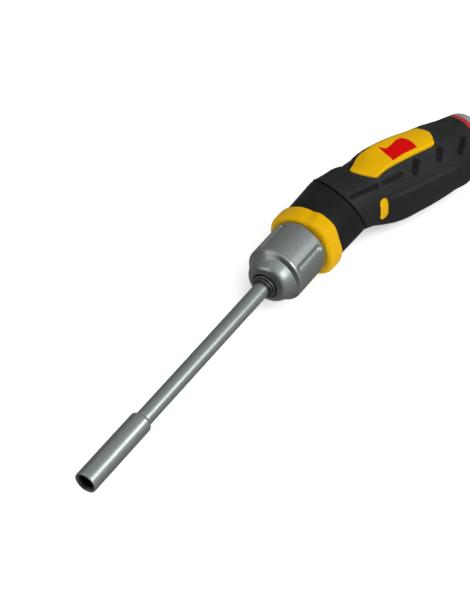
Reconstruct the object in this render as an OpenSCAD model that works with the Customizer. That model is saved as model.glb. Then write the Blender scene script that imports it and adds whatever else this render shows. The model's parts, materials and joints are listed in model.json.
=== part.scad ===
// Ratcheting screwdriver with a swivelling head on a slanted seam.
// The head axis is X, pointing out of the bit socket, and the origin is the middle of the socket's mouth.
// The tool lies on a bench: the bend between head and handle is level, and +Z is up.

/* [Swivel] */
// Slant of the seam between head and handle, in degrees
seam_slant = 25; // [15:1:28]
// Turn of the head away from straight in the modelled pose, in degrees
rest_turn = 45; // [0:15:180]
// Radius of the round seam
seam_r = 17.5; // [17:0.1:19]
// Running gap between the two seam faces
seam_gap = 0.4; // [0.3:0.05:0.8]
// Number of notches round the index disc
index_notches = 24; // [24:24:24]
// Radius of the swivel bolt
bolt_r = 3.5; // [3:0.1:4]

/* [Bit socket and shaft] */
// Distance from the seam's middle to the mouth of the bit socket
tip_reach = 206.5; // [170:0.5:260]
// Width across the flats of the bits that the socket takes
bit_af = 6.35; // [5.5:0.05:7]
// Outer diameter of the bit socket
socket_d = 10.9; // [10:0.1:13]
// Length of the bit socket
socket_len = 42; // [34:0.5:50]
// Depth of the hexagon
hex_depth = 16; // [12:0.5:18]
// Diameter of the shaft
shaft_d = 8; // [7.5:0.1:8.6]

/* [Ratchet nose] */
// Distance from the seam's middle to the front of the nose
nose_reach = 66; // [64:0.5:80]
// Diameter of the nose behind its dome
nose_d = 29.8; // [29:0.1:32]
// Length of the dome as a share of the nose
dome_share = 0.255; // [0.2:0.005:0.3]
// Number of flutes along the nose
flute_count = 4; // [4:1:8]
// Radius of a flute
flute_r = 1.4; // [0.8:0.05:1.5]
// Number of teeth on the ratchet gear
gear_teeth = 24; // [12:12:24]

/* [Selector ring] */
// Distance from the seam's middle to the back of the selector ring
ring_back = 25; // [24:0.5:27]
// Width of the selector ring
ring_w = 9.3; // [9:0.1:10]
// Radius of the ring over its lobes
ring_r = 18.3; // [17.6:0.1:20]
// Number of lobes on the ring
ring_lobes = 7; // [4:1:10]
// Radius of the collar where it meets the ring
collar_r = 17; // [16.4:0.1:17.6]

/* [Handle] */
// Length of the rubber grip behind the seam's middle
grip_len = 80.6; // [78:0.2:96]
// Radius of the grip at its belly
grip_r = 21; // [20:0.1:23]
// Droop of the grip towards its rear
grip_droop = 3; // [2:0.1:4]
// Length of the red end band
band_len = 2.8; // [2:0.1:5]
// Length of the end cap behind the band
cap_len = 7; // [4:0.1:9]

/* [Lock button] */
// Length of the lock button
button_len = 51; // [47:0.1:53]
// Half width of the button at its front corners
button_front_half = 8.9; // [8:0.1:10]
// Half width of the button along its sides
button_side_half = 7.8; // [7:0.1:9]
// Height of the button above the grip
button_proud = 1.5; // [0.8:0.1:2]
// Turn of the button round the grip, away from the top, in degrees
button_turn = 15.5; // [0:0.5:20]

/* [Hidden] */
$fn = 64;

// Fits and cuts
run_gap = 0.05;
seat_gap = 0.04;
move_gap = 0.35;
overrun = 1;

// Seam and swivel
swivel_dir = [cos(seam_slant), 0, -sin(seam_slant)];
bench_roll = -atan(cos(seam_slant) * tan(rest_turn / 2));
seam_half = seam_gap / 2;
disc_r = 10.4;
disc_t = 2.4;
notch_in_r = 7.6;
notch_w = 1.2;
wall_t = 8;
washer_r = 6.6;
washer_t = 1;
bolt_head_af = 11;
bolt_head_t = 4;
nut_t = 5.5;
pocket_r = 7;
neck_r = 13.6;
neck_t = 7;

// Lock plunger, at the side of the seam
plunger_at = 9;
plunger_r = 1.7;
plunger_len = 9.5;
plunger_travel = 2.6;
key_w = 1;
key_tall = 2.4;
key_len = 2.3;
tail_half = 1;
tail_low = 1.4;
tail_high = 3.2;
dog_back = 20;
dog_top = 7.8;
dog_face = 16;
dog_chin = 14.9;
dog_chin_z = 6.4;
tail_front = 8.5;
slot_half = 1.6;
slot_back = 23.5;
slot_front = 6.5;
slot_low = 0.9;
slot_top = 13.4;
spring_wire = 0.35;
coil_steps = 8;
coil_sides = 6;
plunger_spring_r = 0.85;
plunger_spring_bore = 1.25;
plunger_spring_deep = 5.5;
plunger_spring_turns = 8;

// Collar and ratchet stack: places along the head axis, and radii as shares of the room round the shaft
ring_front = ring_back + ring_w;
collar_flat = 6;
carrier_gap = 0.4;
carrier_back = ring_front + carrier_gap;
nose_back = carrier_back;
nose_len = nose_reach - nose_back;
nose_front_share = 0.348;
nose_bore_end = nose_reach - nose_len * nose_front_share;
shaft_r = shaft_d / 2;
nose_r = nose_d / 2;
nose_wall = 2.3;
nose_bore_r = nose_r - nose_wall;
stack_r = nose_bore_r - shaft_r;
spigot_len = 5.8;
spigot_step = ring_back + spigot_len;
spigot_small_share = 0.79;
spigot_small_r = shaft_r + stack_r * spigot_small_share;
spigot_rise = 2;
spigot_r = spigot_small_r + spigot_rise;
spigot_bore_share = 0.256;
spigot_bore = shaft_r + stack_r * spigot_bore_share;
spigot_floor = 4;
carrier_share = 0.2173;
carrier_t = nose_len * carrier_share;
carrier_front = carrier_back + carrier_t;
carrier_bolts = 4;
carrier_bolt_share = 0.523;
carrier_bolt_at = shaft_r + stack_r * carrier_bolt_share;
carrier_bolt_r = 1.25;
carrier_bolt_len = 9;
carrier_head_r = 2.1;
carrier_head_t = 1.6;
shaft_tail = 2.8;
shaft_back = carrier_back - shaft_tail;
clip_t = 0.9;
clip_rise = 1.4;
clip_r = shaft_r + clip_rise;
clip_open = 40;
clip_groove = 0.35;
thrust_t = 0.7;
thrust_share = 0.2326;
thrust_r = shaft_r + stack_r * thrust_share;
hub_gap = 0.5;
hub_len_share = 0.147;
hub_len = nose_len * hub_len_share;
hub_r_share = 0.256;
hub_r = shaft_r + stack_r * hub_r_share;
gear_back = carrier_front + thrust_t + 2 * run_gap;
gear_front = nose_bore_end - hub_gap - hub_len;
gear_t = gear_front - gear_back;
gear_tip_share = 0.465;
gear_tip_r = shaft_r + stack_r * gear_tip_share;
gear_root_share = 0.349;
gear_root_r = shaft_r + stack_r * gear_root_share;
gear_root_gap_share = 0.4;
gear_tip_gap_share = 0.7;
gear_pin_r = 1;

// Reversing pawls
pawl_at_share = 0.721;
pawl_at = shaft_r + stack_r * pawl_at_share;
pawl_pin_share = 0.1047;
pawl_pin_r = stack_r * pawl_pin_share;
pawl_eye_share = 0.1453;
pawl_eye_r = stack_r * pawl_eye_share;
pawl_reach_share = 0.631;
pawl_reach = gear_tip_r * pawl_reach_share;
pawl_tip_clear = 0.25;
pawl_tip_half = 0.15;
pawl_nose_half = 0.65;
pawl_set = 0.8;
pawl_rest = 0.9;
pawl_back = gear_back + pawl_set;
pawl_t = gear_t - pawl_set - pawl_rest;
pawl_heel_share = 1.13;
pawl_heel = pawl_reach * pawl_heel_share;
pawl_heel_drop = 0.6;
pawl_belly = 1.1;
pawl_crown_along_share = 0.5;
pawl_crown_across_share = 0.45;
pawl_flank_share = 0.62;
pawl_belly_share = 0.6;
finger_in_share = 0.9;
finger_in_r = shaft_r + stack_r * finger_in_share;
finger_out_share = 0.965;
finger_out_r = shaft_r + stack_r * finger_out_share;
finger_half = 7;
selector_turn = 18;
window_spare = 3;
window_half = finger_half + selector_turn + window_spare;
window_in_r = finger_in_r - move_gap;

// Selector detent
ball_r = 1.4;
ball_sink = 0.9;
ball_at = spigot_r - ball_sink;
ball_set = 3;
ball_x = ring_back + ball_set;
ball_groove_gap = 0.2;
ball_groove_r = ball_r + ball_groove_gap;
ball_deep = 4.4;
ball_well = spigot_r - ball_deep;
detent_spring_r = 0.95;
detent_spring_turns = 3;

// Selector ring
lobe_rise = 1.3;
lobe_turn = 4;
lobe_steps = 14;
ring_edge = 0.8;
ring_shoulder = 2.6;
ring_fall = 3;

// Nose
dome_len = nose_len * dome_share;
dome_back = nose_reach - dome_len;
dome_inset = 2.3;
dome_r = nose_r - dome_inset;
dome_power = 3;
nose_mouth_r = 6.3;
step_w = 0.9;
step_len = 0.5;
step_deep = 0.3;
nose_taper = 0.25;
step_back = dome_back - step_len;
flute_back_set = 3.2;
flute_front_set = 2.4;
flute_back = nose_back + flute_back_set;
flute_front = step_back - flute_front_set;
flute_out = 0.5;
flute_turn = 27.5;
bush_r = 5.5;
bush_lip_r = 6;
bush_lip_t = 0.9;

// Bit socket
socket_back = tip_reach - socket_len;
socket_r = socket_d / 2;
socket_shoulder = 1.2;
socket_rim = 0.5;
socket_neck_rise = 0.25;
socket_neck_r = shaft_r + socket_neck_rise;
hex_clear = 0.1;
hex_af = bit_af + hex_clear;
mouth_r = 4.3;
magnet_r = 2.5;
magnet_t = 3;
stem_r = 3;
stem_len = 13;

// Handle core, inside the rubber
core_r = 12.8;
core_end = 56;
tail_r = 11;
tail_start = 44;
tail_drop = 2.5;
stub_r = 9;
window_x = 14.4;
window_drop = 1.5;
window_half_w = 2.5;
window_half_h = 6.2;
window_reach_share = 0.871;
screw_r = 1.5;
screw_head_r = 2.8;
screw_head_t = 1.8;
screw_out = 8;
screw_in = 8.5;
front_screw_x = 30;
front_screw_z = 7;
rear_screw_x = 66;
rear_screw_z = 6;
screw_places = [[-front_screw_x, -front_screw_z], [-rear_screw_x, -rear_screw_z]];
split_gap = 0.05;

// Grip sections from the seam back: distance, slant, up, side and down radius, and droop
grip_shares = [
    [0, 1, 0.833, 0.833, 0.833, 0],
    [0.094, 0.76, 0.83, 0.843, 0.847, 0],
    [0.188, 0.52, 0.87, 0.901, 0.922, 0],
    [0.282, 0.28, 0.917, 0.958, 0.99, 0],
    [0.388, 0.08, 0.946, 0.99, 1.026, 0.1],
    [0.494, 0, 0.96, 0.99, 1.011, 0.21],
    [0.612, 0, 0.943, 0.971, 0.99, 0.36],
    [0.73, 0, 0.902, 0.93, 0.949, 0.55],
    [0.824, 0, 0.869, 0.885, 0.892, 0.7],
    [0.918, 0, 0.827, 0.856, 0.877, 0.86],
    [1, 0, 0.786, 0.786, 0.786, 0.68]
];
grip_sides = 40;
grip_steps = 2;
bar_steps = 4;
bar_end = 75;
rear_r = grip_r * grip_shares[len(grip_shares) - 1][2];
rear_drop = grip_droop * grip_shares[len(grip_shares) - 1][5];

// Grip recesses and slots beside the button: shares of the grip's length, and angles from the button
recess_shares = [[0.481, 0.437], [0.691, 0.646], [0.908, 0.831]];
recess_from = 29.5;
recess_to = 44;
recess_r = 2.1;
recess_lift = 0.8;
groove_shares = [[0.045, 0.186], [0.249, 0.347]];
groove_angle = 36.5;
groove_r = 0.8;

// Lock button
button_front = 6.8;
button_corner = 14.9;
button_waist = 22.7;
button_tail = 6.6;
button_round = 6.4;
button_gap = 0.55;
button_floor = 5;
button_steps = 4;
button_brow_share = 0.22;
button_brow = (button_corner - button_front) * button_brow_share;
front_half_share = 0.45;
corner_along_share = 0.3;
corner_across_share = 0.25;
button_shoulder = button_round * corner_across_share;
corner_back_share = 0.2;
tail_side_share = 0.96;
tail_round_share = 0.3;
tail_half_share = 0.62;
button_under_r = 15.4;
button_pivot_x = 50;
button_pivot_z = 9;
pivot_r = 1;
pivot_len = 15;
lug_half = 2;
lug_r = 2.6;
lug_pocket_half = 2.6;
lug_pocket_r = 3.8;
leg_back = 19.5;
leg_foot = 14.5;
leg_front = 13;
leg_low = 6.4;
leg_top = 13.8;
leg_side = 0.25;
button_spring_x = 31;
button_spring_r = 2.4;
button_spring_low = 5;
button_spring_wire = 0.5;
button_spring_well = 3.2;
button_spring_turns = 6;
sky = 40;

// End of the handle
band_back = grip_len + band_len;
cap_back = band_back + cap_len;
band_taper = 0.1;
band_edge = 0.4;
band_edge_r = rear_r - band_taper;
cap_inset = 0.3;
cap_r = rear_r - cap_inset;
cap_round_share = 0.8;
cap_face_r = 9.5;
cap_plug_r = 6;
cap_plug_len = 4;

// Frames: head parts, handle parts, the turned lock button, and the slanted swivel axis
module on_head() {
    translate([-tip_reach, 0, 0]) rotate([bench_roll, 0, 0]) children();
}

module on_handle() {
    on_head() rotate(a = rest_turn, v = swivel_dir) children();
}

module on_button() {
    rotate([-button_turn, 0, 0]) children();
}

module along_swivel() {
    rotate([0, seam_slant, 0]) children();
}

// A rod along X, from one place to another
module rod(from, to, r) {
    translate([from, 0, 0]) rotate([0, 90, 0]) cylinder(h = to - from, r = r);
}

// A hexagonal rod along X
module hex_rod(from, to, af) {
    translate([from, 0, 0]) rotate([0, 90, 0]) cylinder(h = to - from, r = af / sqrt(3), $fn = 6);
}

// A solid turned about X from points of distance and radius
module turned(points) {
    rotate([0, 90, 0]) rotate_extrude() polygon([for (p = points) [p[1], p[0]]]);
}

// A stretch of ring about X, centred on the angle from +Z towards +Y
module arc_band(from, to, inner, outer, angle, half) {
    translate([from, 0, 0]) rotate([0, 90, 0]) rotate([0, 0, 180 - angle - half])
        rotate_extrude(angle = 2 * half) translate([inner, 0]) square([outer - inner, to - from]);
}

// A smooth curve through the rows of a table
function smooth_row(t, i, s) =
    let (a = t[max(i - 1, 0)], b = t[i], c = t[i + 1], d = t[min(i + 2, len(t) - 1)])
    (2 * b + (c - a) * s + (2 * a - 5 * b + 4 * c - d) * s * s + (3 * b - a - 3 * c + d) * s * s * s) / 2;

function smooth_rows(t, steps) = concat(
    [for (i = [0 : len(t) - 2], k = [0 : steps - 1]) smooth_row(t, i, k / steps)],
    [t[len(t) - 1]]
);

// A skin over rings of equal count, with flat ends
module skin(rings) {
    n = len(rings[0]);
    last = len(rings) - 1;
    sides = [
        for (i = [0 : last - 1], j = [0 : n - 1], half = [0, 1])
        let (k = (j + 1) % n, a = i * n + j, b = i * n + k, c = a + n, d = b + n)
        half == 0 ? [a, c, d] : [a, d, b]
    ];
    front = [[for (j = [0 : n - 1]) j]];
    back = [[for (j = [n - 1 : -1 : 0]) last * n + j]];
    polyhedron(points = [for (r = rings, p = r) p], faces = concat(front, sides, back));
}

// A coil spring along Z, with plain ends
module coil(r, wire, low, high, turns) {
    steps = turns * coil_steps;
    skin([for (i = [0 : steps])
        let (a = 360 * turns * i / steps, z = low + wire + (high - low - 2 * wire) * i / steps)
        [for (j = [0 : coil_sides - 1])
            let (b = -360 * j / coil_sides, out = r + wire * cos(b))
            [out * cos(a), out * sin(a), z + wire * sin(b)]]
    ]);
}

// Grip sections
function grip_row_points(row, extra) = [
    for (j = [0 : grip_sides - 1])
    let (
        a = 360 * j / grip_sides,
        tilt = row[1] * seam_slant,
        tall = grip_r * (cos(a) >= 0 ? row[2] : row[4]) + extra,
        z = tall * cos(a),
        y = (grip_r * row[3] + extra) * sin(a)
    )
    [-row[0] * grip_len + z * sin(tilt) - (1 - row[0]) * seam_half, y, z * cos(tilt) - row[5] * grip_droop]
];

function grip_rows() = concat(
    [[grip_shares[0][0], grip_shares[0][1], seam_r / grip_r, seam_r / grip_r, seam_r / grip_r, 0]],
    [for (i = [1 : len(grip_shares) - 1]) grip_shares[i]]
);

module grip_form(extra) {
    skin([for (row = smooth_rows(grip_rows(), grip_steps)) grip_row_points(row, extra)]);
}

function grip_row_at(share) =
    let (i = max([for (k = [0 : len(grip_shares) - 2]) grip_shares[k][0] <= share ? k : 0]),
         s = (share - grip_shares[i][0]) / (grip_shares[i + 1][0] - grip_shares[i][0]))
    smooth_row(grip_rows(), i, s);

// A point on the grip's skin, at a share of its length and an angle from the top
function grip_point(share, angle, lift) =
    let (row = grip_row_at(share), tall = grip_r * (cos(angle) >= 0 ? row[2] : row[4]) + lift,
         z = tall * cos(angle), y = (grip_r * row[3] + lift) * sin(angle), tilt = row[1] * seam_slant)
    [-share * grip_len + z * sin(tilt), y, z * cos(tilt) - row[5] * grip_droop];

// A round-ended bar between two points
module bar(a, b, r) {
    d = b - a;
    long = norm(d);
    arc = [for (i = [0 : bar_steps]) bar_end * i / bar_steps];
    translate(a) rotate([0, acos(d[2] / long), atan2(d[1], d[0])]) rotate_extrude() polygon(concat(
        [[0, long + r * sin(bar_end)], [0, -r * sin(bar_end)]],
        [for (i = [bar_steps : -1 : 0]) r * [cos(arc[i]), -sin(arc[i])]],
        [for (t = arc) [r * cos(t), long + r * sin(t)]]
    ));
}

// Outline of the lock button seen from above, grown by a margin
function button_half(m) = let (rear = button_front + button_len) concat(
    smooth_rows([
        [m - button_front, 0],
        [m - button_front - button_brow, button_front_half * front_half_share],
        [m - button_corner + button_round * corner_along_share, button_front_half - button_shoulder],
        [-button_corner - button_round * corner_back_share, button_front_half + m]
    ], button_steps),
    smooth_rows([
        [-button_waist, button_side_half + m],
        [button_tail - rear, button_side_half * tail_side_share + m],
        [button_tail * tail_round_share - rear, button_side_half * tail_half_share + m],
        [-rear - m, 0]
    ], button_steps)
);

module button_outline(m) {
    half = button_half(m);
    mirrored = [for (i = [len(half) - 2 : -1 : 1]) [half[i][0], -half[i][1]]];
    polygon(concat(half, mirrored));
}

// The gear's outline: pointed-off teeth with the same flank on both sides
module gear_outline() {
    pitch = 360 / gear_teeth;
    root_half = pitch * (1 - gear_root_gap_share) / 2;
    tip_half = pitch * (1 - gear_tip_gap_share) / 2;
    polygon([
        for (k = [0 : gear_teeth - 1], p = [
            [gear_root_r, -root_half], [gear_tip_r, -tip_half],
            [gear_tip_r, tip_half], [gear_root_r, root_half]
        ])
        let (a = pitch * k + p[1])
        [p[0] * cos(a), p[0] * sin(a)]
    ]);
}

// One arm of a pawl, from its eye to its nose, with +Y towards the shaft
function pawl_tip_low() = pawl_at - sqrt(pow(gear_tip_r + pawl_tip_clear, 2) - pow(pawl_reach, 2));

module pawl_outline() {
    tip = pawl_tip_low();
    half = [
        [0, -pawl_eye_r],
        [pawl_heel * pawl_crown_along_share, -pawl_eye_r * pawl_crown_across_share],
        [pawl_heel, pawl_heel_drop],
        [pawl_reach + pawl_nose_half, tip * pawl_flank_share],
        [pawl_reach + pawl_tip_half, tip],
        [pawl_reach - pawl_tip_half, tip],
        [pawl_reach - pawl_nose_half, tip * pawl_flank_share],
        [pawl_reach * pawl_belly_share, pawl_belly]
    ];
    polygon(concat(half, [for (i = [len(half) - 1 : -1 : 1]) [-half[i][0], half[i][1]]]));
}

// The screws' places round the pawl carrier
module at_carrier_bolts() {
    for (k = [0 : carrier_bolts - 1]) rotate([360 * (k + 0.5) / carrier_bolts, 0, 0])
        translate([0, 0, carrier_bolt_at]) children();
}

// Head parts
module swivel_collar() color("#26282a") difference() {
    union() {
        hull() {
            along_swivel() rod(seam_half, seam_half + overrun, seam_r);
            rod(ring_back - collar_flat, ring_back, collar_r);
        }
        rod(ring_back - overrun, spigot_step, spigot_r);
        rod(ring_back, carrier_back, spigot_small_r);
    }
    along_swivel() {
        rod(-overrun, wall_t + overrun, bolt_r + run_gap);
        rod(-overrun, disc_t + seam_half + seat_gap, disc_r + seat_gap);
        rod(wall_t, wall_t + washer_t + bolt_head_t + overrun, pocket_r);
    }
    rod(wall_t + spigot_floor, carrier_back + overrun, spigot_bore);
    at_carrier_bolts()
        rod(carrier_front - carrier_bolt_len - overrun, carrier_back + overrun, carrier_bolt_r + seat_gap);
    translate([ball_x, 0, 0]) rotate([-90, 0, 0]) translate([0, 0, ball_well])
        cylinder(h = spigot_r, r = ball_r + run_gap);
}

module index_disc() color("#8b8f92") along_swivel() difference() {
    rod(seam_half, seam_half + disc_t, disc_r);
    rod(-overrun, seam_half + disc_t + overrun, bolt_r + run_gap);
    for (k = [0 : index_notches - 1]) rotate([360 / index_notches * k, 0, 0])
        translate([0, -notch_w / 2, notch_in_r]) cube([disc_t + overrun, notch_w, disc_r]);
}

module pawl_carrier() color("#7c8083") difference() {
    rod(carrier_back, carrier_front, nose_bore_r - seat_gap);
    rod(0, carrier_front + overrun, shaft_r + run_gap);
    for (side = [0, 180]) {
        arc_band(carrier_back - overrun, carrier_front + overrun, window_in_r, nose_r, side, window_half);
        rotate([side, 0, 0]) translate([0, 0, pawl_at]) rod(0, nose_reach, pawl_pin_r + seat_gap);
    }
    at_carrier_bolts() {
        rod(0, nose_reach, carrier_bolt_r + seat_gap);
        rod(carrier_front - carrier_head_t, nose_reach, carrier_head_r + seat_gap);
    }
}

module carrier_screws() color("#55585a")
    at_carrier_bolts() {
        rod(carrier_front - carrier_bolt_len, carrier_front - carrier_head_t / 2, carrier_bolt_r);
        difference() {
            rod(carrier_front - carrier_head_t + seat_gap, carrier_front, carrier_head_r);
            hex_rod(carrier_front - carrier_head_t / 2, carrier_front + overrun, carrier_bolt_r);
        }
    }

module pawl_pins() color("#9a9da0")
    for (side = [0, 180]) rotate([side, 0, 0]) translate([0, 0, pawl_at])
        rod(carrier_back + overrun, pawl_back + pawl_t, pawl_pin_r);

module ratchet_nose() color("#a3a7aa") difference() {
    turned(concat(
        [[nose_back, 0], [nose_back, nose_r], [step_back - step_w, nose_r - nose_taper],
         [step_back, dome_r - step_deep], [dome_back, dome_r - step_deep]],
        [for (a = [0 : 9 : 90])
            [nose_reach - dome_len * pow(cos(a), dome_power),
             nose_mouth_r + (dome_r - nose_mouth_r) * cos(a)]],
        [[nose_reach, 0]]
    ));
    rod(nose_back - overrun, nose_bore_end, nose_bore_r);
    rod(nose_back, nose_reach + overrun, bush_r + seat_gap);
    for (k = [0 : flute_count - 1]) rotate([360 / flute_count * k - flute_turn, 0, 0])
        bar([flute_back, 0, nose_r + flute_out], [flute_front, 0, nose_r + flute_out], flute_r);
}

module nose_bushing() color("#5d5f5e") difference() {
    union() {
        rod(nose_bore_end + seat_gap, nose_reach + bush_lip_t / 2, bush_r);
        rod(nose_reach + seat_gap, nose_reach + bush_lip_t, bush_lip_r);
    }
    rod(nose_back, nose_reach + bush_lip_t + overrun, shaft_r + run_gap);
}

module detent_ball() color("#c4c6c8") translate([ball_x, ball_at, 0]) sphere(r = ball_r);

module detent_spring() color("#9a9da0") translate([ball_x, 0, 0]) rotate([-90, 0, 0])
    coil(detent_spring_r, spring_wire / 2, ball_well, ball_at - ball_r, detent_spring_turns);

// Spindle parts
module drive_shaft() color("#aeb1b3") difference() {
    union() {
        rod(shaft_back, socket_back - seat_gap, shaft_r);
        rod(socket_back - overrun, socket_back + stem_len - seat_gap, stem_r - seat_gap);
    }
    for (x = [nose_reach + bush_lip_t + move_gap, carrier_back - clip_t - move_gap]) difference() {
        rod(x - seat_gap, x + clip_t + seat_gap, shaft_r + overrun);
        rod(x - overrun, x + clip_t + overrun, shaft_r - clip_groove);
    }
    translate([gear_front + hub_len / 2, -shaft_r - overrun, 0]) rotate([-90, 0, 0])
        cylinder(h = shaft_d + 2 * overrun, r = gear_pin_r + seat_gap);
}

module bit_socket() color("#9da1a4") difference() {
    turned([
        [socket_back, 0], [socket_back, socket_neck_r], [socket_back + socket_shoulder, socket_r],
        [tip_reach - socket_rim, socket_r], [tip_reach, socket_r - socket_rim], [tip_reach, 0]
    ]);
    rod(socket_back - overrun, socket_back + stem_len, stem_r);
    rod(tip_reach - hex_depth - magnet_t - seat_gap, tip_reach - hex_depth + overrun, magnet_r + seat_gap);
    hex_rod(tip_reach - hex_depth, tip_reach + overrun, hex_af);
    turned([
        [tip_reach - (mouth_r - hex_af / 2), 0], [tip_reach - (mouth_r - hex_af / 2), hex_af / 2],
        [tip_reach, mouth_r], [tip_reach + overrun, mouth_r], [tip_reach + overrun, 0]
    ]);
}

module bit_magnet() color("#c9cbcc")
    rod(tip_reach - hex_depth - magnet_t, tip_reach - hex_depth - seat_gap, magnet_r);

module ratchet_gear() color("#7f8386") difference() {
    union() {
        translate([gear_back, 0, 0]) rotate([0, 90, 0]) linear_extrude(gear_t) gear_outline();
        rod(gear_front - overrun, gear_front + hub_len, hub_r);
    }
    rod(0, nose_reach, shaft_r + seat_gap);
    translate([gear_front + hub_len / 2, -hub_r - overrun, 0]) rotate([-90, 0, 0])
        cylinder(h = 2 * hub_r + 2 * overrun, r = gear_pin_r + seat_gap);
}

module gear_pin() color("#9a9da0") translate([gear_front + hub_len / 2, -hub_r, 0]) rotate([-90, 0, 0])
    cylinder(h = 2 * hub_r, r = gear_pin_r);

module thrust_washer() color("#b0905a") difference() {
    rod(carrier_front + run_gap, carrier_front + run_gap + thrust_t, thrust_r);
    rod(0, nose_reach, shaft_r + seat_gap);
}

// An open spring clip in a groove of the shaft
module clip_at(x) {
    translate([x, 0, 0]) rotate([0, 90, 0]) rotate([0, 0, clip_open / 2])
        rotate_extrude(angle = 360 - clip_open) translate([shaft_r - clip_groove + seat_gap, 0])
            square([clip_r - shaft_r + clip_groove, clip_t]);
}

module front_clip() color("#4c4e4f") clip_at(nose_reach + bush_lip_t + move_gap);

module rear_clip() color("#4c4e4f") clip_at(carrier_back - clip_t - move_gap);

// Selector
module selector_ring() color("#f2b705") {
    difference() {
        intersection() {
            translate([ring_back + move_gap, 0, 0]) rotate([0, 90, 0])
                linear_extrude(ring_front - ring_back - move_gap) polygon([
                    for (i = [0 : lobe_steps * ring_lobes - 1])
                    let (
                        a = 360 * i / (lobe_steps * ring_lobes),
                        r = ring_r - lobe_rise * (1 - cos(ring_lobes * (180 - a - lobe_turn))) / 2
                    )
                    [r * cos(a), r * sin(a)]
                ]);
            turned(concat(
                [[ring_back, 0], [ring_back, ring_r - ring_edge], [ring_back + ring_edge, ring_r]],
                [for (a = [0 : 15 : 90])
                    [ring_front - ring_shoulder * (1 - sin(a)), ring_r - ring_fall * (1 - cos(a))]],
                [[ring_front, 0]]
            ));
        }
        rod(ring_back - overrun, spigot_step + move_gap, spigot_r + run_gap);
        rod(ring_back, ring_front + overrun, spigot_small_r + move_gap);
        translate([ball_x, 0, 0]) rotate([0, 90, 0]) rotate_extrude()
            translate([ball_at, 0]) circle(r = ball_groove_r);
    }
    for (side = [0, 180])
        arc_band(ring_front - overrun, pawl_back + pawl_t, finger_in_r, finger_out_r, side, finger_half);
}

// Reversing pawls
module pawl() {
    translate([pawl_back, 0, pawl_at]) rotate([0, 90, 0]) linear_extrude(pawl_t) rotate(90) difference() {
        mirror([0, 1]) pawl_outline();
        circle(r = pawl_pin_r + run_gap);
    }
}

module upper_pawl() color("#6f7376") pawl();

module lower_pawl() color("#6f7376") rotate([180, 0, 0]) pawl();

// Handle core: two half shells, split along the middle, inside the rubber
module core_form(grow, past) {
    difference() {
        union() {
            along_swivel() rod(-seam_half - neck_t - grow, past, neck_r + grow);
            rod(-core_end - grow, core_r, core_r + grow);
        }
        along_swivel() rod(past - seam_half, sky, sky);
    }
    translate([0, 0, -tail_drop]) rod(-grip_len - past, -tail_start, tail_r + grow);
    for (side = [-1, 1]) window_boss(side, grow, past);
}

// An oval boss that shows through the grip's side
module window_boss(side, grow, past) {
    tall = window_half_h - window_half_w;
    reach = grip_r * window_reach_share + past;
    intersection() {
        translate([-window_x, 0, -window_drop]) rotate([-90 * side, 0, 0]) {
            for (z = [-tall, tall]) translate([0, z, 0]) cylinder(h = reach, r = window_half_w + grow);
            translate([-window_half_w - grow, -tall, 0])
                cube([2 * (window_half_w + grow), 2 * tall, reach]);
        }
        rod(-window_x - core_r, core_r - window_x, reach);
    }
}

// The slot for the plunger's tail and the button's leg
module plunger_slot() {
    translate([-slot_back, plunger_at - slot_half, slot_low])
        cube([slot_back - slot_front, 2 * slot_half, slot_top - slot_low]);
}

module core_half(side) color("#f2b705") difference() {
    intersection() {
        union() {
            core_form(0, 0);
            translate([0, 0, -rear_drop]) rod(-band_back + seat_gap, -grip_len + overrun, stub_r);
        }
        translate([-cap_back, side > 0 ? split_gap : -sky - split_gap, -sky])
            cube([cap_back + sky, sky, 2 * sky]);
    }
    along_swivel() {
        rod(-pocket_r - wall_t, overrun, bolt_r + seat_gap);
        rod(-seam_half - neck_t - nut_t - washer_t - overrun, -seam_half - neck_t, pocket_r);
        translate([0, plunger_at, 0])
            rod(-plunger_len - plunger_travel - move_gap, overrun, plunger_r + run_gap);
    }
    plunger_slot();
    on_button() {
        translate([-button_spring_x, 0, button_spring_low]) cylinder(h = sky, r = button_spring_well);
        translate([-button_pivot_x, 0, button_pivot_z]) rotate([90, 0, 0])
            cylinder(h = pivot_len + 2 * move_gap, r = pivot_r + seat_gap, center = true);
        translate([-button_pivot_x, -lug_pocket_half, button_pivot_z]) {
            rotate([-90, 0, 0]) cylinder(h = 2 * lug_pocket_half, r = lug_pocket_r);
            translate([-lug_pocket_r, 0, 0]) cube([2 * lug_pocket_r, 2 * lug_pocket_half, sky]);
        }
    }
    for (p = screw_places) translate([p[0], 0, p[1]]) rotate([90, 0, 0]) {
        translate([0, 0, -screw_in - move_gap]) cylinder(h = sky, r = screw_r + seat_gap);
        translate([0, 0, screw_out - screw_head_t]) cylinder(h = sky, r = screw_head_r + seat_gap);
    }
    translate([0, 0, -rear_drop])
        rod(-cap_back, cap_plug_len + move_gap - band_back, cap_plug_r + seat_gap);
}

module core_left() core_half(1);

module core_right() core_half(-1);

module core_screws() color("#8b8f92")
    for (p = screw_places) translate([p[0], 0, p[1]]) rotate([90, 0, 0]) {
        translate([0, 0, -screw_in]) cylinder(h = screw_in + screw_out - screw_head_t / 2, r = screw_r);
        difference() {
            translate([0, 0, screw_out - screw_head_t + seat_gap])
                cylinder(h = screw_head_t, r = screw_head_r);
            translate([0, 0, screw_out - screw_head_t / 2]) cylinder(h = sky, r = screw_r, $fn = 6);
        }
    }

module rubber_grip() color("#2b2d2f") difference() {
    grip_form(0);
    core_form(seat_gap, overrun);
    on_button() translate([0, 0, button_floor]) linear_extrude(sky) button_outline(button_gap);
    plunger_slot();
    for (side = [-1, 1]) {
        for (s = recess_shares)
            bar(grip_point(s[0], button_turn + side * recess_from, recess_lift),
                grip_point(s[1], button_turn + side * recess_to, recess_lift), recess_r);
        for (g = groove_shares)
            bar(grip_point(g[0], button_turn + side * groove_angle, 0),
                grip_point(g[1], button_turn + side * groove_angle, 0), groove_r);
    }
}

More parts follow.
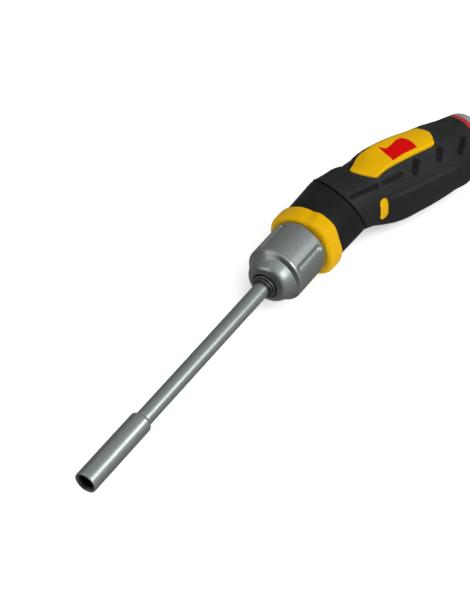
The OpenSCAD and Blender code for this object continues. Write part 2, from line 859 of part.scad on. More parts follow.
// End of the handle
module end_band() color("#b3242b") translate([0, 0, -rear_drop]) difference() {
    turned([
        [-band_back, 0], [-band_back, band_edge_r - band_edge], [-band_back + band_edge, band_edge_r],
        [-grip_len - seat_gap, rear_r], [-grip_len - seat_gap, 0]
    ]);
    rod(-cap_back, 0, stub_r + seat_gap);
}

module end_cap() color("#b9bcbe") translate([0, 0, -rear_drop]) {
    round_len = cap_len * cap_round_share;
    turned(concat(
        [[-band_back - seat_gap, 0], [-band_back - seat_gap, cap_r]],
        [for (a = [0 : 15 : 90])
            [-cap_back + round_len * (1 - sin(a)), cap_face_r + (cap_r - cap_face_r) * cos(a)]],
        [[-cap_back, 0]]
    ));
    rod(-band_back - overrun, cap_plug_len - band_back, cap_plug_r);
}

// Swivel bolt, carried by the handle
module swivel_bolt() color("#8b8f92") along_swivel() {
    top = wall_t + washer_t + 2 * run_gap;
    rod(-seam_half - neck_t - nut_t - washer_t / 2, top + overrun, bolt_r);
    hex_rod(top + run_gap, top + run_gap + bolt_head_t, bolt_head_af);
}

module swivel_washer() color("#b0905a") along_swivel() difference() {
    rod(wall_t + run_gap, wall_t + run_gap + washer_t, washer_r);
    rod(0, wall_t + washer_t + overrun, bolt_r + seat_gap);
}

module swivel_nut() color("#8b8f92") along_swivel() difference() {
    hex_rod(-seam_half - neck_t - nut_t, -seam_half - neck_t - seat_gap, bolt_head_af);
    rod(-sky, 0, bolt_r + seat_gap);
}

// Lock button and plunger
module button_pin() color("#9a9da0") on_button() translate([-button_pivot_x, 0, button_pivot_z])
    rotate([90, 0, 0]) cylinder(h = pivot_len, r = pivot_r, center = true);

module button_spring() color("#9a9da0") on_button() translate([-button_spring_x, 0, 0])
    coil(button_spring_r, button_spring_wire / 2, button_spring_low, button_under_r - move_gap,
        button_spring_turns);

module plunger_spring() color("#9a9da0") along_swivel() translate([0, plunger_at, 0]) rotate([0, 90, 0])
    coil(plunger_spring_r, spring_wire / 2, -plunger_len - plunger_travel - move_gap,
        plunger_spring_deep - plunger_len - run_gap, plunger_spring_turns);

module lock_button() color("#f2b705") {
    difference() {
        intersection() {
            grip_form(button_proud);
            on_button() translate([0, 0, button_floor]) linear_extrude(sky) button_outline(0);
        }
        rod(-cap_back, sky, button_under_r);
    }
    on_button() difference() {
        union() {
            translate([-button_pivot_x, -lug_half, button_pivot_z]) rotate([-90, 0, 0])
                cylinder(h = 2 * lug_half, r = lug_r);
            translate([-button_pivot_x - lug_r, -lug_half, button_pivot_z])
                cube([2 * lug_r, 2 * lug_half, button_under_r - button_pivot_z + overrun / 2]);
        }
        translate([-button_pivot_x, 0, button_pivot_z]) rotate([90, 0, 0])
            cylinder(h = sky, r = pivot_r + run_gap, center = true);
    }
    translate([0, plunger_at + leg_side + tail_half, 0]) rotate([90, 0, 0]) linear_extrude(2 * tail_half)
        polygon([[-leg_back, leg_top], [-leg_foot, leg_low], [-leg_front, leg_low], [-leg_front, leg_top]]);
}

module lock_plunger() color("#8b8f92") {
    along_swivel() translate([0, plunger_at, 0]) difference() {
        union() {
            rod(-plunger_len, -seam_half, plunger_r);
            translate([-seam_half - overrun, -key_tall / 2, -key_w / 2])
                cube([key_len + seam_half + overrun, key_tall, key_w]);
        }
        rod(-plunger_len - overrun, plunger_spring_deep - plunger_len, plunger_spring_bore);
    }
    difference() {
        translate([0, plunger_at + tail_half, 0]) rotate([90, 0, 0]) linear_extrude(2 * tail_half) polygon([
            [-dog_back, tail_low], [-dog_back, dog_top], [-dog_face, dog_top], [-dog_chin, dog_chin_z],
            [-dog_chin, tail_high], [-tail_front, tail_high], [-tail_front, tail_low]
        ]);
        along_swivel() translate([0, plunger_at, 0]) rod(-sky, 0, plunger_spring_bore);
    }
}

on_head() swivel_collar();
on_head() index_disc();
on_head() pawl_carrier();
on_head() carrier_screws();
on_head() pawl_pins();
on_head() ratchet_nose();
on_head() nose_bushing();
on_head() detent_ball();
on_head() detent_spring();
on_head() drive_shaft();
on_head() bit_socket();
on_head() bit_magnet();
on_head() ratchet_gear();
on_head() gear_pin();
on_head() thrust_washer();
on_head() front_clip();
on_head() rear_clip();
on_head() selector_ring();
on_head() upper_pawl();
on_head() lower_pawl();
on_handle() core_left();
on_handle() core_right();
on_handle() core_screws();
on_handle() rubber_grip();
on_handle() end_band();
on_handle() end_cap();
on_handle() swivel_bolt();
on_handle() swivel_washer();
on_handle() swivel_nut();
on_handle() button_pin();
on_handle() button_spring();
on_handle() plunger_spring();
on_handle() lock_button();
on_handle() lock_plunger();
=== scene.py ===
"""Looks of a ratcheting screwdriver whose head swivels on a slanted seam."""
import json
import math

import bmesh
import bpy
import numpy as np
from mathutils import Matrix, Vector


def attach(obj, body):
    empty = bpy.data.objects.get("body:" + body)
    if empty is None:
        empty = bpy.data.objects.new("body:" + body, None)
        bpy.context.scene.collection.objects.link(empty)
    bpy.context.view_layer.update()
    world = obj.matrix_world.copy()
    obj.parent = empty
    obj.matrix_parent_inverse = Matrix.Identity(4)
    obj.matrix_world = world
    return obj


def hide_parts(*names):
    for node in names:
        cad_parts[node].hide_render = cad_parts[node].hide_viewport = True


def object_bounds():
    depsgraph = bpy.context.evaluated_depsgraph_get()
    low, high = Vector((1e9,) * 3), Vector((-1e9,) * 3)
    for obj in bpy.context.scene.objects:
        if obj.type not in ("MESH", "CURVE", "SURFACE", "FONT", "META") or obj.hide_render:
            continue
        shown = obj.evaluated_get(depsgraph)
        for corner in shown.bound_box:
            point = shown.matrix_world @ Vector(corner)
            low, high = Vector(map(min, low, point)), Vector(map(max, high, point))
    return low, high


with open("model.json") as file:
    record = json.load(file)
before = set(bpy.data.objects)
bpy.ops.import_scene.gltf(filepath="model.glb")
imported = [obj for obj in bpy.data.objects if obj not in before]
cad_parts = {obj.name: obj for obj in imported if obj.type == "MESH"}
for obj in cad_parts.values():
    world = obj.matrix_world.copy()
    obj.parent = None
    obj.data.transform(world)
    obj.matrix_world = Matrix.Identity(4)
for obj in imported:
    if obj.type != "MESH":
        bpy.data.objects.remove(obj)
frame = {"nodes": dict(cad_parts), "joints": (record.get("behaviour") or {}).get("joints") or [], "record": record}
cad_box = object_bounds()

nodes = frame["nodes"]
MM = 0.001

# Places of the head and the handle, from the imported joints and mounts
joints = {joint["name"]: joint for joint in frame["joints"]}
mounts = {mount["name"]: mount for mount in frame["record"]["mounts"]}
seam_centre = np.array(joints["head_swivel"]["pos_m"], float)


def unit(vector):
    return vector / np.linalg.norm(vector)


swivel_axis = unit(np.array(joints["head_swivel"]["axis"], float))


def axes_along(forward):
    """Rows that point forward, to the side and up, for a piece that ends at the slanted seam."""
    up = unit(forward * swivel_axis.dot(forward) - swivel_axis)
    return np.array([forward, np.cross(up, forward), up])


handle_axes = axes_along(-unit(np.array(mounts["end_rest"]["axis"], float)))
head_axes = axes_along(unit(np.array(joints["shaft_spin"]["axis"], float)))
SEAM_SLANT = math.acos(swivel_axis.dot(head_axes[0]))


def to_row(points, axes):
    """Millimetres in the head's or handle's own place, to metres in the row frame."""
    return seam_centre + MM * np.asarray(points, float) @ axes


def tilted(points):
    """Points of a piece that lies square to the swivel, seen along the head or handle."""
    x, y, z = np.moveaxis(np.asarray(points, float), -1, 0)
    c, s = math.cos(SEAM_SLANT), math.sin(SEAM_SLANT)
    return np.stack([x * c + z * s, y, z * c - x * s], -1)


# Sizes in millimetres. BACK, FRONT and TIP are distances from the swivel, along the head or back along the handle
SEAM_R, SEAM_HALF, SEAM_EDGE = 17.5, 0.2, 1.0
COLLAR_R, COLLAR_FLAT = 17.0, 6.0
RING_BACK, RING_FRONT, RING_R = 25.0, 34.3, 18.3
NOSE_BACK, NOSE_FRONT, NOSE_R, NOSE_BORE_END = 34.7, 66.0, 14.9, 55.1
STEP_BACK, DOME_BACK, DOME_R, MOUTH_R = 57.52, 58.85, 12.85, 6.3
FLUTES, FLUTE_TURN = 4, math.radians(27.5)
FLUTE_BACK, FLUTE_FRONT, FLUTE_R, FLUTE_OUT = 38.5, 54.2, 2.4, 1.4
SHAFT_R, SOCKET_BACK, SOCKET_R, TIP = 4.0, 164.5, 5.45, 206.5
GRIP_LEN, GRIP_R, GRIP_DROOP, REAR_DROP, REAR_R = 80.6, 21.0, 3.0, 2.04, 16.5
BAND_BACK, CAP_BACK = 83.4, 90.4
# Sections of the grip, as shares: place along it, slant, radius above, to the side and below, and droop
GRIP_SHARES = np.array([
    (0, 1, 0.833, 0.833, 0.833, 0),
    (0.094, 0.76, 0.83, 0.843, 0.847, 0),
    (0.188, 0.52, 0.87, 0.901, 0.922, 0),
    (0.282, 0.28, 0.917, 0.958, 0.99, 0),
    (0.388, 0.08, 0.946, 0.99, 1.026, 0.1),
    (0.494, 0, 0.96, 0.99, 1.011, 0.21),
    (0.612, 0, 0.943, 0.971, 0.99, 0.36),
    (0.73, 0, 0.902, 0.93, 0.949, 0.55),
    (0.824, 0, 0.869, 0.885, 0.892, 0.7),
    (0.918, 0, 0.827, 0.856, 0.877, 0.86),
    (1, 0, 0.786, 0.786, 0.786, 0.68),
])
# The lock button and the hollows beside it are turned from the top of the handle towards its near side
BUTTON_TURN = math.radians(15.5)


def turned_round(points, angle):
    """Points turned about the handle, from its top towards its side."""
    x, y, z = np.moveaxis(np.asarray(points, float), -1, 0)
    c, s = math.cos(angle), math.sin(angle)
    return np.stack([x, y * c + z * s, z * c - y * s], -1)


# Mesh helpers
def smoothstep(value, low, high):
    t = np.clip((value - low) / (high - low), 0, 1)
    return t * t * (3 - 2 * t)


def smooth_row(table, place):
    """A smooth curve through the rows of a table, at any places counted in rows."""
    last = len(table) - 1
    i = np.clip(np.floor(place).astype(int), 0, last - 1)
    s = (np.asarray(place) - i)[..., None]
    a, b, c, d = table[np.maximum(i - 1, 0)], table[i], table[i + 1], table[np.minimum(i + 2, last)]
    return (2 * b + (c - a) * s + (2 * a - 5 * b + 4 * c - d) * s ** 2 + (3 * b - a - 3 * c + d) * s ** 3) / 2


def rounded(corners, steps=6, closed=True):
    """An outline of distance, radius and rim wear, through corners of distance, radius and fillet."""
    outline = []
    count = len(corners)
    for i, (x, r, fillet) in enumerate(corners):
        here = np.array((x, r))
        if fillet == 0 or (not closed and i in (0, count - 1)):
            outline.append((x, r, 0.0))
            continue
        back = unit(np.array(corners[i - 1][:2]) - here)
        ahead = unit(np.array(corners[(i + 1) % count][:2]) - here)
        half = math.acos(np.clip(back.dot(ahead), -1, 1)) / 2
        centre = here + unit(back + ahead) * fillet / math.sin(half)
        first = here + back * fillet / math.tan(half) - centre
        last = here + ahead * fillet / math.tan(half) - centre
        sweep = math.pi - 2 * half
        for k in range(steps + 1):
            t = k / steps
            arm = (first * math.sin((1 - t) * sweep) + last * math.sin(t * sweep)) / math.sin(sweep)
            outline.append((*(centre + arm), math.sin(math.pi * t)))
    return np.array(outline)


def spaced(outline, step, closed=True):
    """The outline with no stretch longer than a step."""
    ends = np.roll(outline, -1, 0) if closed else outline[1:]
    rows = []
    for a, b in zip(outline, ends):
        parts = max(1, math.ceil(np.linalg.norm((b - a)[:2]) / step))
        rows += [a + (b - a) * k / parts for k in range(parts)]
    if not closed:
        rows.append(outline[-1])
    return np.array(rows)


def grid_faces(rows, columns, wrap_rows, start=0):
    """Four-sided faces over rows of points that go once round."""
    last = rows if wrap_rows else rows - 1
    i, j = np.meshgrid(np.arange(last), np.arange(columns), indexing="ij")
    k, m = (i + 1) % rows, (j + 1) % columns
    quads = np.stack([i * columns + j, i * columns + m, k * columns + m, k * columns + j], -1)
    return (quads.reshape(-1, 4) + start).tolist()


def turned(outline, columns, closed=True, shape=None, drop=0.0):
    """A turned piece's points, faces and rim values, with wear above zero and painted shade below; shape may change the
    radius round the turn.
    """
    angles = np.arange(columns) * 2 * math.pi / columns
    x = np.repeat(outline[:, :1], columns, 1)
    r = np.repeat(outline[:, 1:2], columns, 1)
    if shape:
        r = shape(x, r, angles[None, :])
    points = np.stack([x, r * np.sin(angles), r * np.cos(angles) - drop], -1).reshape(-1, 3)
    faces = grid_faces(len(outline), columns, closed)
    if not closed:
        faces += [list(range(columns)), list(range(len(points) - columns, len(points)))]
    return points, faces, np.repeat(outline[:, 2], columns)


def upright(flat, height):
    return np.column_stack([flat, np.full(len(flat), height)])


def sideways(flat, depth):
    return np.column_stack([flat[:, 0], np.full(len(flat), depth), flat[:, 1]])


def lengthwise(flat, x):
    return np.column_stack([np.full(len(flat), x), flat])


def prism(outline, low, high, lift):
    """A straight-sided block; lift turns flat points and a height into points of the piece."""
    count = len(outline)
    points = np.concatenate([lift(outline, low), lift(outline, high)])
    sides = [[i, (i + 1) % count, count + (i + 1) % count, count + i] for i in range(count)]
    return points, sides + [list(range(count)), list(range(count, 2 * count))], np.zeros(2 * count)


def joined(*forms):
    """Several closed forms as one piece."""
    points, faces, rim = [], [], []
    start = 0
    for form in forms:
        points.append(form[0])
        faces += [[v + start for v in face] for face in form[1]]
        rim.append(form[2])
        start += len(form[0])
    return np.concatenate(points), faces, np.concatenate(rim)


def piece(name, form, axes, crease=35):
    """A mesh object from points in millimetres, with outward faces and its rim values kept: wear above zero, painted
    shade below.
    """
    points, faces, rim = form
    mesh = bpy.data.meshes.new(name)
    mesh.from_pydata(to_row(points, axes).tolist(), [], faces)
    mesh.validate()
    shape = bmesh.new()
    shape.from_mesh(mesh)
    bmesh.ops.recalc_face_normals(shape, faces=shape.faces)
    shape.to_mesh(mesh)
    shape.free()
    mesh.attributes.new("rim", "FLOAT", "POINT").data.foreach_set("value", np.asarray(rim, np.float32))
    mesh.shade_smooth()
    mesh.set_sharp_from_angle(angle=math.radians(crease))
    made = bpy.data.objects.new(name, mesh)
    bpy.context.scene.collection.objects.link(made)
    return made


def fit(made, body, slot, material, *replaced):
    """Puts a finished piece on its body, with its finish and the nodes it stands for."""
    made.data.materials.clear()
    made.data.materials.append(material)
    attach(made, body)
    if replaced:
        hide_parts(*replaced)


def cut(made, cutter):
    """Takes one closed form out of another, for good."""
    step = made.modifiers.new("cut", "BOOLEAN")
    step.object = cutter
    step.operation = "DIFFERENCE"
    step.solver = "EXACT"
    graph = bpy.context.evaluated_depsgraph_get()
    mesh = bpy.data.meshes.new_from_object(made.evaluated_get(graph))
    made.modifiers.clear()
    made.data = mesh
    bpy.data.objects.remove(cutter)


# Material helpers
def feed(tree, socket, value):
    if isinstance(value, bpy.types.NodeSocket):
        tree.links.new(value, socket)
    else:
        socket.default_value = value


def add(tree, kind, inputs=None, **settings):
    node = tree.nodes.new(kind)
    for key, value in settings.items():
        setattr(node, key, value)
    for key, value in (inputs or {}).items():
        feed(tree, node.inputs[key], value)
    return node


def maths(tree, operation, a, b=0.0):
    return add(tree, "ShaderNodeMath", {0: a, 1: b}, operation=operation).outputs[0]


def ranged(tree, value, low, high, to_low=0.0, to_high=1.0):
    return add(tree, "ShaderNodeMapRange", {
        "Value": value, "From Min": low, "From Max": high, "To Min": to_low, "To Max": to_high,
    }).outputs["Result"]


def mixed(tree, amount, first, second):
    return add(tree, "ShaderNodeMix", {0: amount, 6: first, 7: second}, data_type="RGBA").outputs[2]


def noise(tree, vector, scale, detail=3.0, rough=0.55):
    return add(tree, "ShaderNodeTexNoise", {
        "Vector": vector, "Scale": scale, "Detail": detail, "Roughness": rough,
    }).outputs["Fac"]


def effect(name, inputs, outputs):
    """A node group with named values in and out."""
    tree = bpy.data.node_groups.new(name, "ShaderNodeTree")
    for label, value in inputs.items():
        socket = tree.interface.new_socket(label, in_out="INPUT", socket_type="NodeSocketFloat")
        socket.default_value = value
    for label in outputs:
        tree.interface.new_socket(label, in_out="OUTPUT", socket_type="NodeSocketFloat")
    return tree, tree.nodes.new("NodeGroupInput").outputs, tree.nodes.new("NodeGroupOutput").inputs


def moulded_grain_effect():
    """Fine pebbled grain of a spark-finished mould."""
    tree, given, out = effect("moulded_grain", {"Scale": 3000.0, "Coarse": 0.4}, ["Height", "Speckle"])
    place = add(tree, "ShaderNodeTexCoord").outputs["Object"]
    fine = noise(tree, place, given["Scale"], 2.0, 0.6)
    cells = add(tree, "ShaderNodeTexVoronoi", {"Vector": place, "Scale": given["Scale"]}, feature="SMOOTH_F1")
    pebble = maths(tree, "MULTIPLY", cells.outputs["Distance"], given["Coarse"])
    feed(tree, out["Height"], maths(tree, "SUBTRACT", fine, pebble))
    feed(tree, out["Speckle"], ranged(tree, fine, 0.35, 0.7))
    return tree


def handling_effect():
    """Broad smudges, thin scuffs and settled dust from use."""
    tree, given, out = effect("handling", {"Scale": 60.0, "Scuffs": 0.5, "Dust": 0.5}, ["Smudge", "Scuff", "Dust"])
    place = add(tree, "ShaderNodeTexCoord").outputs["Object"]
    broad = noise(tree, place, given["Scale"], 5.0, 0.6)
    feed(tree, out["Smudge"], ranged(tree, broad, 0.3, 0.72))
    drawn = add(tree, "ShaderNodeMapping", {
        "Vector": place, "Scale": (90.0, 1500.0, 1100.0), "Rotation": (0.3, 0.5, 0.9),
    })
    lines = noise(tree, drawn.outputs["Vector"], 1.0, 2.0, 0.4)
    streak = ranged(tree, lines, 0.66, 0.74)
    feed(tree, out["Scuff"], maths(tree, "MULTIPLY", streak, given["Scuffs"]))
    up = add(tree, "ShaderNodeSeparateXYZ", {0: add(tree, "ShaderNodeNewGeometry").outputs["Normal"]}).outputs["Z"]
    specks = ranged(tree, noise(tree, place, 900.0), 0.5, 0.75)
    settled = maths(tree, "MULTIPLY", ranged(tree, up, 0.2, 1.0), specks)
    feed(tree, out["Dust"], maths(tree, "MULTIPLY", settled, given["Dust"]))
    return tree


def rim_wear_and_shade_effect():
    """Uneven wear along rounded rims, and painted shade where the rim value is below zero."""
    tree, given, out = effect("rim_wear_and_shade", {"Amount": 0.6, "Scale": 500.0}, ["Wear", "Hollow"])
    rim = add(tree, "ShaderNodeAttribute", attribute_name="rim").outputs["Fac"]
    place = add(tree, "ShaderNodeTexCoord").outputs["Object"]
    patchy = ranged(tree, noise(tree, place, given["Scale"], 4.0, 0.65), 0.3, 0.65)
    worn = maths(tree, "MULTIPLY", maths(tree, "MAXIMUM", rim, 0.0), patchy)
    feed(tree, out["Wear"], maths(tree, "MULTIPLY", worn, given["Amount"]))
    feed(tree, out["Hollow"], maths(tree, "MAXIMUM", maths(tree, "MULTIPLY", rim, -1.0), 0.0))
    return tree


def turning_lines_effect():
    """Fine rings that a lathe tool leaves along the head axis."""
    tree, given, out = effect("turning_lines", {"Scale": 6000.0}, ["Height", "Tone"])
    place = add(tree, "ShaderNodeTexCoord").outputs["Object"]
    along = add(tree, "ShaderNodeSeparateXYZ", {0: place}).outputs["X"]
    rings = add(tree, "ShaderNodeTexNoise", {"W": along, "Scale": given["Scale"], "Detail": 3.0}, noise_dimensions="1D")
    broad = add(tree, "ShaderNodeTexNoise", {"W": along, "Scale": 400.0, "Detail": 2.0}, noise_dimensions="1D")
    feed(tree, out["Height"], rings.outputs["Fac"])
    feed(tree, out["Tone"], broad.outputs["Fac"])
    return tree


moulded_grain = moulded_grain_effect()
handling = handling_effect()
rim_wear_and_shade = rim_wear_and_shade_effect()
turning_lines = turning_lines_effect()


def place_effect(tree, group, **values):
    node = tree.nodes.new("ShaderNodeGroup")
    node.node_tree = group
    for label, value in values.items():
        node.inputs[label].default_value = value
    return node.outputs


def new_finish(name, **plain):
    material = bpy.data.materials.new(name)
    material.use_nodes = True
    tree = material.node_tree
    shader = tree.nodes["Principled BSDF"]
    for label, value in plain.items():
        shader.inputs[label.replace("_", " ")].default_value = value
    return material, tree, shader.inputs


def bump(tree, sockets, height, distance, strength):
    node = add(tree, "ShaderNodeBump", {"Height": height, "Distance": distance, "Strength": strength})
    feed(tree, sockets["Normal"], node.outputs["Normal"])


def moulded_finish(name, colour, shade, worn, rough, grain=3000.0, depth=0.00004, dust=0.15, **plain):
    """Moulded plastic or rubber: grain, smudges, scuffs, dust, paler rims and painted shade in the hollows."""
    material, tree, sockets = new_finish(name, **plain)
    skin = place_effect(tree, moulded_grain, Scale=grain)
    marks = place_effect(tree, handling, Dust=dust, Scuffs=0.5)
    rims = place_effect(tree, rim_wear_and_shade, Amount=0.5)
    wear = rims["Wear"]
    body = mixed(tree, marks["Smudge"], (*shade, 1), (*colour, 1))
    body = mixed(tree, maths(tree, "MULTIPLY", skin["Speckle"], 0.18), body, (*shade, 1))
    # Painted shade: hollows darkened towards a quarter of the shade colour
    body = mixed(tree, maths(tree, "MULTIPLY", rims["Hollow"], 0.9), body, (*(c * 0.25 for c in shade), 1))
    body = mixed(tree, maths(tree, "MAXIMUM", wear, maths(tree, "MULTIPLY", marks["Scuff"], 0.35)), body, (*worn, 1))
    dusted = mixed(tree, marks["Dust"], body, (0.35, 0.34, 0.32, 1))
    feed(tree, sockets["Base Color"], dusted)
    gloss = ranged(tree, marks["Smudge"], 0.0, 1.0, rough + 0.07, rough - 0.05)
    gloss = maths(tree, "SUBTRACT", gloss, maths(tree, "MULTIPLY", wear, 0.12))
    gloss = maths(tree, "ADD", gloss, maths(tree, "MULTIPLY", rims["Hollow"], 0.25))
    feed(tree, sockets["Roughness"], gloss)
    bump(tree, sockets, skin["Height"], depth, 0.6)
    return material


def steel_finish(name, colour, shade, rough, lines=6000.0):
    """Turned and plated steel: lathe rings, smudges, scuffs, bright rims and near-black painted shade in the hollows.
    """
    material, tree, sockets = new_finish(name, Metallic=1.0)
    rings = place_effect(tree, turning_lines, Scale=lines)
    marks = place_effect(tree, handling, Scuffs=0.3, Dust=0.0, Scale=70.0)
    rims = place_effect(tree, rim_wear_and_shade, Amount=0.5)
    wear = rims["Wear"]
    body = mixed(tree, marks["Smudge"], (*shade, 1), (*colour, 1))
    # Painted shade: hollows darkened nearly to black
    body = mixed(tree, maths(tree, "MULTIPLY", rims["Hollow"], 0.9), body, (0.012, 0.012, 0.012, 1))
    body = mixed(tree, ranged(tree, rings["Tone"], 0.35, 0.7, 0.0, 0.2), body, (*shade, 1))
    bright = tuple(min(1.0, c * 1.5) for c in colour)
    body = mixed(tree, maths(tree, "MAXIMUM", wear, maths(tree, "MULTIPLY", marks["Scuff"], 0.5)), body, (*bright, 1))
    feed(tree, sockets["Base Color"], body)
    gloss = ranged(tree, marks["Smudge"], 0.0, 1.0, rough + 0.03, rough - 0.02)
    gloss = maths(tree, "ADD", gloss, maths(tree, "MULTIPLY", marks["Scuff"], 0.08))
    feed(tree, sockets["Roughness"], gloss)
    bump(tree, sockets, rings["Height"], 0.000012, 0.35)
    return material


black_rubber = moulded_finish("black_rubber", (0.009, 0.0105, 0.0105), (0.006, 0.007, 0.007), (0.027, 0.03, 0.03),
                              0.55, grain=2600.0, depth=0.00005, dust=0.03, Specular_IOR_Level=0.23)
black_plastic = moulded_finish("black_plastic", (0.0042, 0.0045, 0.0042), (0.003, 0.0032, 0.003), (0.02, 0.022, 0.022),
                               0.5, grain=3600.0, dust=0.02, Specular_IOR_Level=0.18)
yellow_plastic = moulded_finish("yellow_plastic", (0.56, 0.308, 0.0004), (0.5, 0.268, 0.0003), (0.63, 0.37, 0.006),
                                0.45, grain=3400.0, depth=0.00003, dust=0.015, Specular_IOR_Level=0.05)
red_plastic = moulded_finish("red_plastic", (0.38, 0.014, 0.02), (0.27, 0.009, 0.013), (0.5, 0.07, 0.07), 0.42,
                             Specular_IOR_Level=0.2)
red_mark = moulded_finish("red_mark", (0.46, 0.0006, 0.0014), (0.41, 0.0005, 0.001), (0.53, 0.012, 0.01), 0.45,
                          dust=0.015, Specular_IOR_Level=0.05)
grey_cap = moulded_finish("grey_cap", (0.24, 0.245, 0.24), (0.19, 0.195, 0.19), (0.33, 0.335, 0.33), 0.45)
nose_steel = steel_finish("nose_steel", (0.42, 0.45, 0.45), (0.38, 0.405, 0.4), 0.25)
shaft_steel = steel_finish("shaft_steel", (0.42, 0.45, 0.45), (0.38, 0.405, 0.4), 0.3, lines=4000.0)
dark_steel = steel_finish("dark_steel", (0.17, 0.175, 0.17), (0.1, 0.103, 0.1), 0.34)
bushing_steel = steel_finish("bushing_steel", (0.36, 0.38, 0.375), (0.24, 0.25, 0.245), 0.28)
mechanism_steel = steel_finish("mechanism_steel", (0.4, 0.41, 0.42), (0.28, 0.29, 0.3), 0.34)
spring_steel = steel_finish("spring_steel", (0.45, 0.46, 0.47), (0.3, 0.31, 0.32), 0.25)
bronze = steel_finish("bronze", (0.5, 0.33, 0.14), (0.36, 0.22, 0.08), 0.32)
magnet_plating = steel_finish("magnet_plating", (0.6, 0.6, 0.6), (0.45, 0.45, 0.46), 0.2)

finishes = {
    "black_plastic": black_plastic, "black_rubber": black_rubber, "yellow_plastic": yellow_plastic,
    "red_plastic": red_plastic, "grey_cap": grey_cap, "nose_steel": nose_steel, "shaft_steel": shaft_steel,
    "dark_steel": dark_steel, "mechanism_steel": mechanism_steel, "spring_steel": spring_steel,
    "bronze": bronze, "magnet": magnet_plating,
}
for row in frame["record"]["subparts"]:
    mesh = nodes[row["node"]].data
    mesh.materials.clear()
    mesh.materials.append(finishes[row["material_slot"]])


# Spindle
def make_drive_shaft():
    back = 31.9
    stem_r, stem_end = 2.96, SOCKET_BACK + 12.96
    groove_r, groove_wide = SHAFT_R - 0.35, 0.98
    corners = [(back, 0.2, 0), (back, SHAFT_R, 0.4)]
    for groove in (33.41, 67.21):
        corners += [(groove, SHAFT_R, 0.08), (groove, groove_r, 0.05),
                    (groove + groove_wide, groove_r, 0.05), (groove + groove_wide, SHAFT_R, 0.08)]
    corners += [(SOCKET_BACK - 0.04, SHAFT_R, 0.25), (SOCKET_BACK - 0.04, stem_r, 0.1), (stem_end, stem_r, 0.2),
                (stem_end, 0.2, 0)]
    outline = spaced(rounded(corners, 4, closed=False), 2.0, closed=False)
    shaft = piece("shaft_bar", turned(outline, 128, closed=False), head_axes)
    fit(shaft, "spindle", "shaft_steel", shaft_steel, "drive_shaft")


def make_bit_socket():
    hex_flat, hex_depth, mouth_r, lead_in, stem_deep = 6.45 / 2, 16.0, 4.8, 1.3, 13
    bore = hex_flat / math.cos(math.radians(30))
    corners = [
        (SOCKET_BACK + stem_deep, 3.0, 0.1), (SOCKET_BACK, 3.0, 0.1), (SOCKET_BACK, 4.2, 0.3),
        (SOCKET_BACK + 1.25, SOCKET_R, 0.9), (TIP, SOCKET_R, 0.5), (TIP, mouth_r + 0.05, 0.2),
        (TIP - lead_in, bore, 0), (TIP - hex_depth, bore, 0), (TIP - hex_depth, 0.3, 0),
    ]
    outline = spaced(rounded(corners, 6, closed=False), 1.2, closed=False)
    # The small bore behind the magnet joins the two ends of the outline
    outline = np.concatenate([outline, [(SOCKET_BACK + stem_deep, 0.3, 0.0)]])
    x, r = outline[:, 0], outline[:, 1]
    # Painted shade down the hex bore, from its lead-in to its floor
    bored = (x < TIP - 0.2) & (x > TIP - hex_depth - 0.5) & (r < mouth_r - 0.05)
    outline[bored, 2] = -1.0

    def hexagon(x, r, angle):
        inside = (x < TIP - 0.05) & (x > TIP - hex_depth - 0.1) & (r < mouth_r - 0.02) & (r > 1)
        turn = np.mod(angle + math.pi / 6, math.pi / 3) - math.pi / 6
        flat = hex_flat / np.cos(turn)
        chamfer = np.where(x > TIP - lead_in - 0.05, r - 0.35, 0)
        return np.where(inside, np.maximum(np.minimum(r, flat), chamfer), r)

    socket = piece("socket_barrel", turned(outline, 144, shape=hexagon), head_axes, 30)
    fit(socket, "spindle", "shaft_steel", shaft_steel, "bit_socket")


def make_front_clip():
    inner, outer, back, thick, opening = SHAFT_R - 0.31, 5.4, 67.25, 0.9, math.radians(20)
    front = back + thick
    section = rounded([(back, inner, 0.1), (back, outer, 0.22), (front, outer, 0.22), (front, inner, 0.1)], 4)
    angles = np.linspace(math.pi / 2 + opening, math.pi / 2 + 2 * math.pi - opening, 120) + math.pi / 2
    points = [[(x, r * math.cos(a), r * math.sin(a)) for x, r, _ in section] for a in angles]
    count = len(section)
    faces = grid_faces(len(angles), count, False)
    faces += [list(range(count)), list(range(count * (len(angles) - 1), count * len(angles)))]
    form = (np.array(points).reshape(-1, 3), faces, np.tile(section[:, 2], len(angles)))
    fit(piece("spring_clip", form, head_axes), "spindle", "dark_steel", dark_steel, "front_clip")


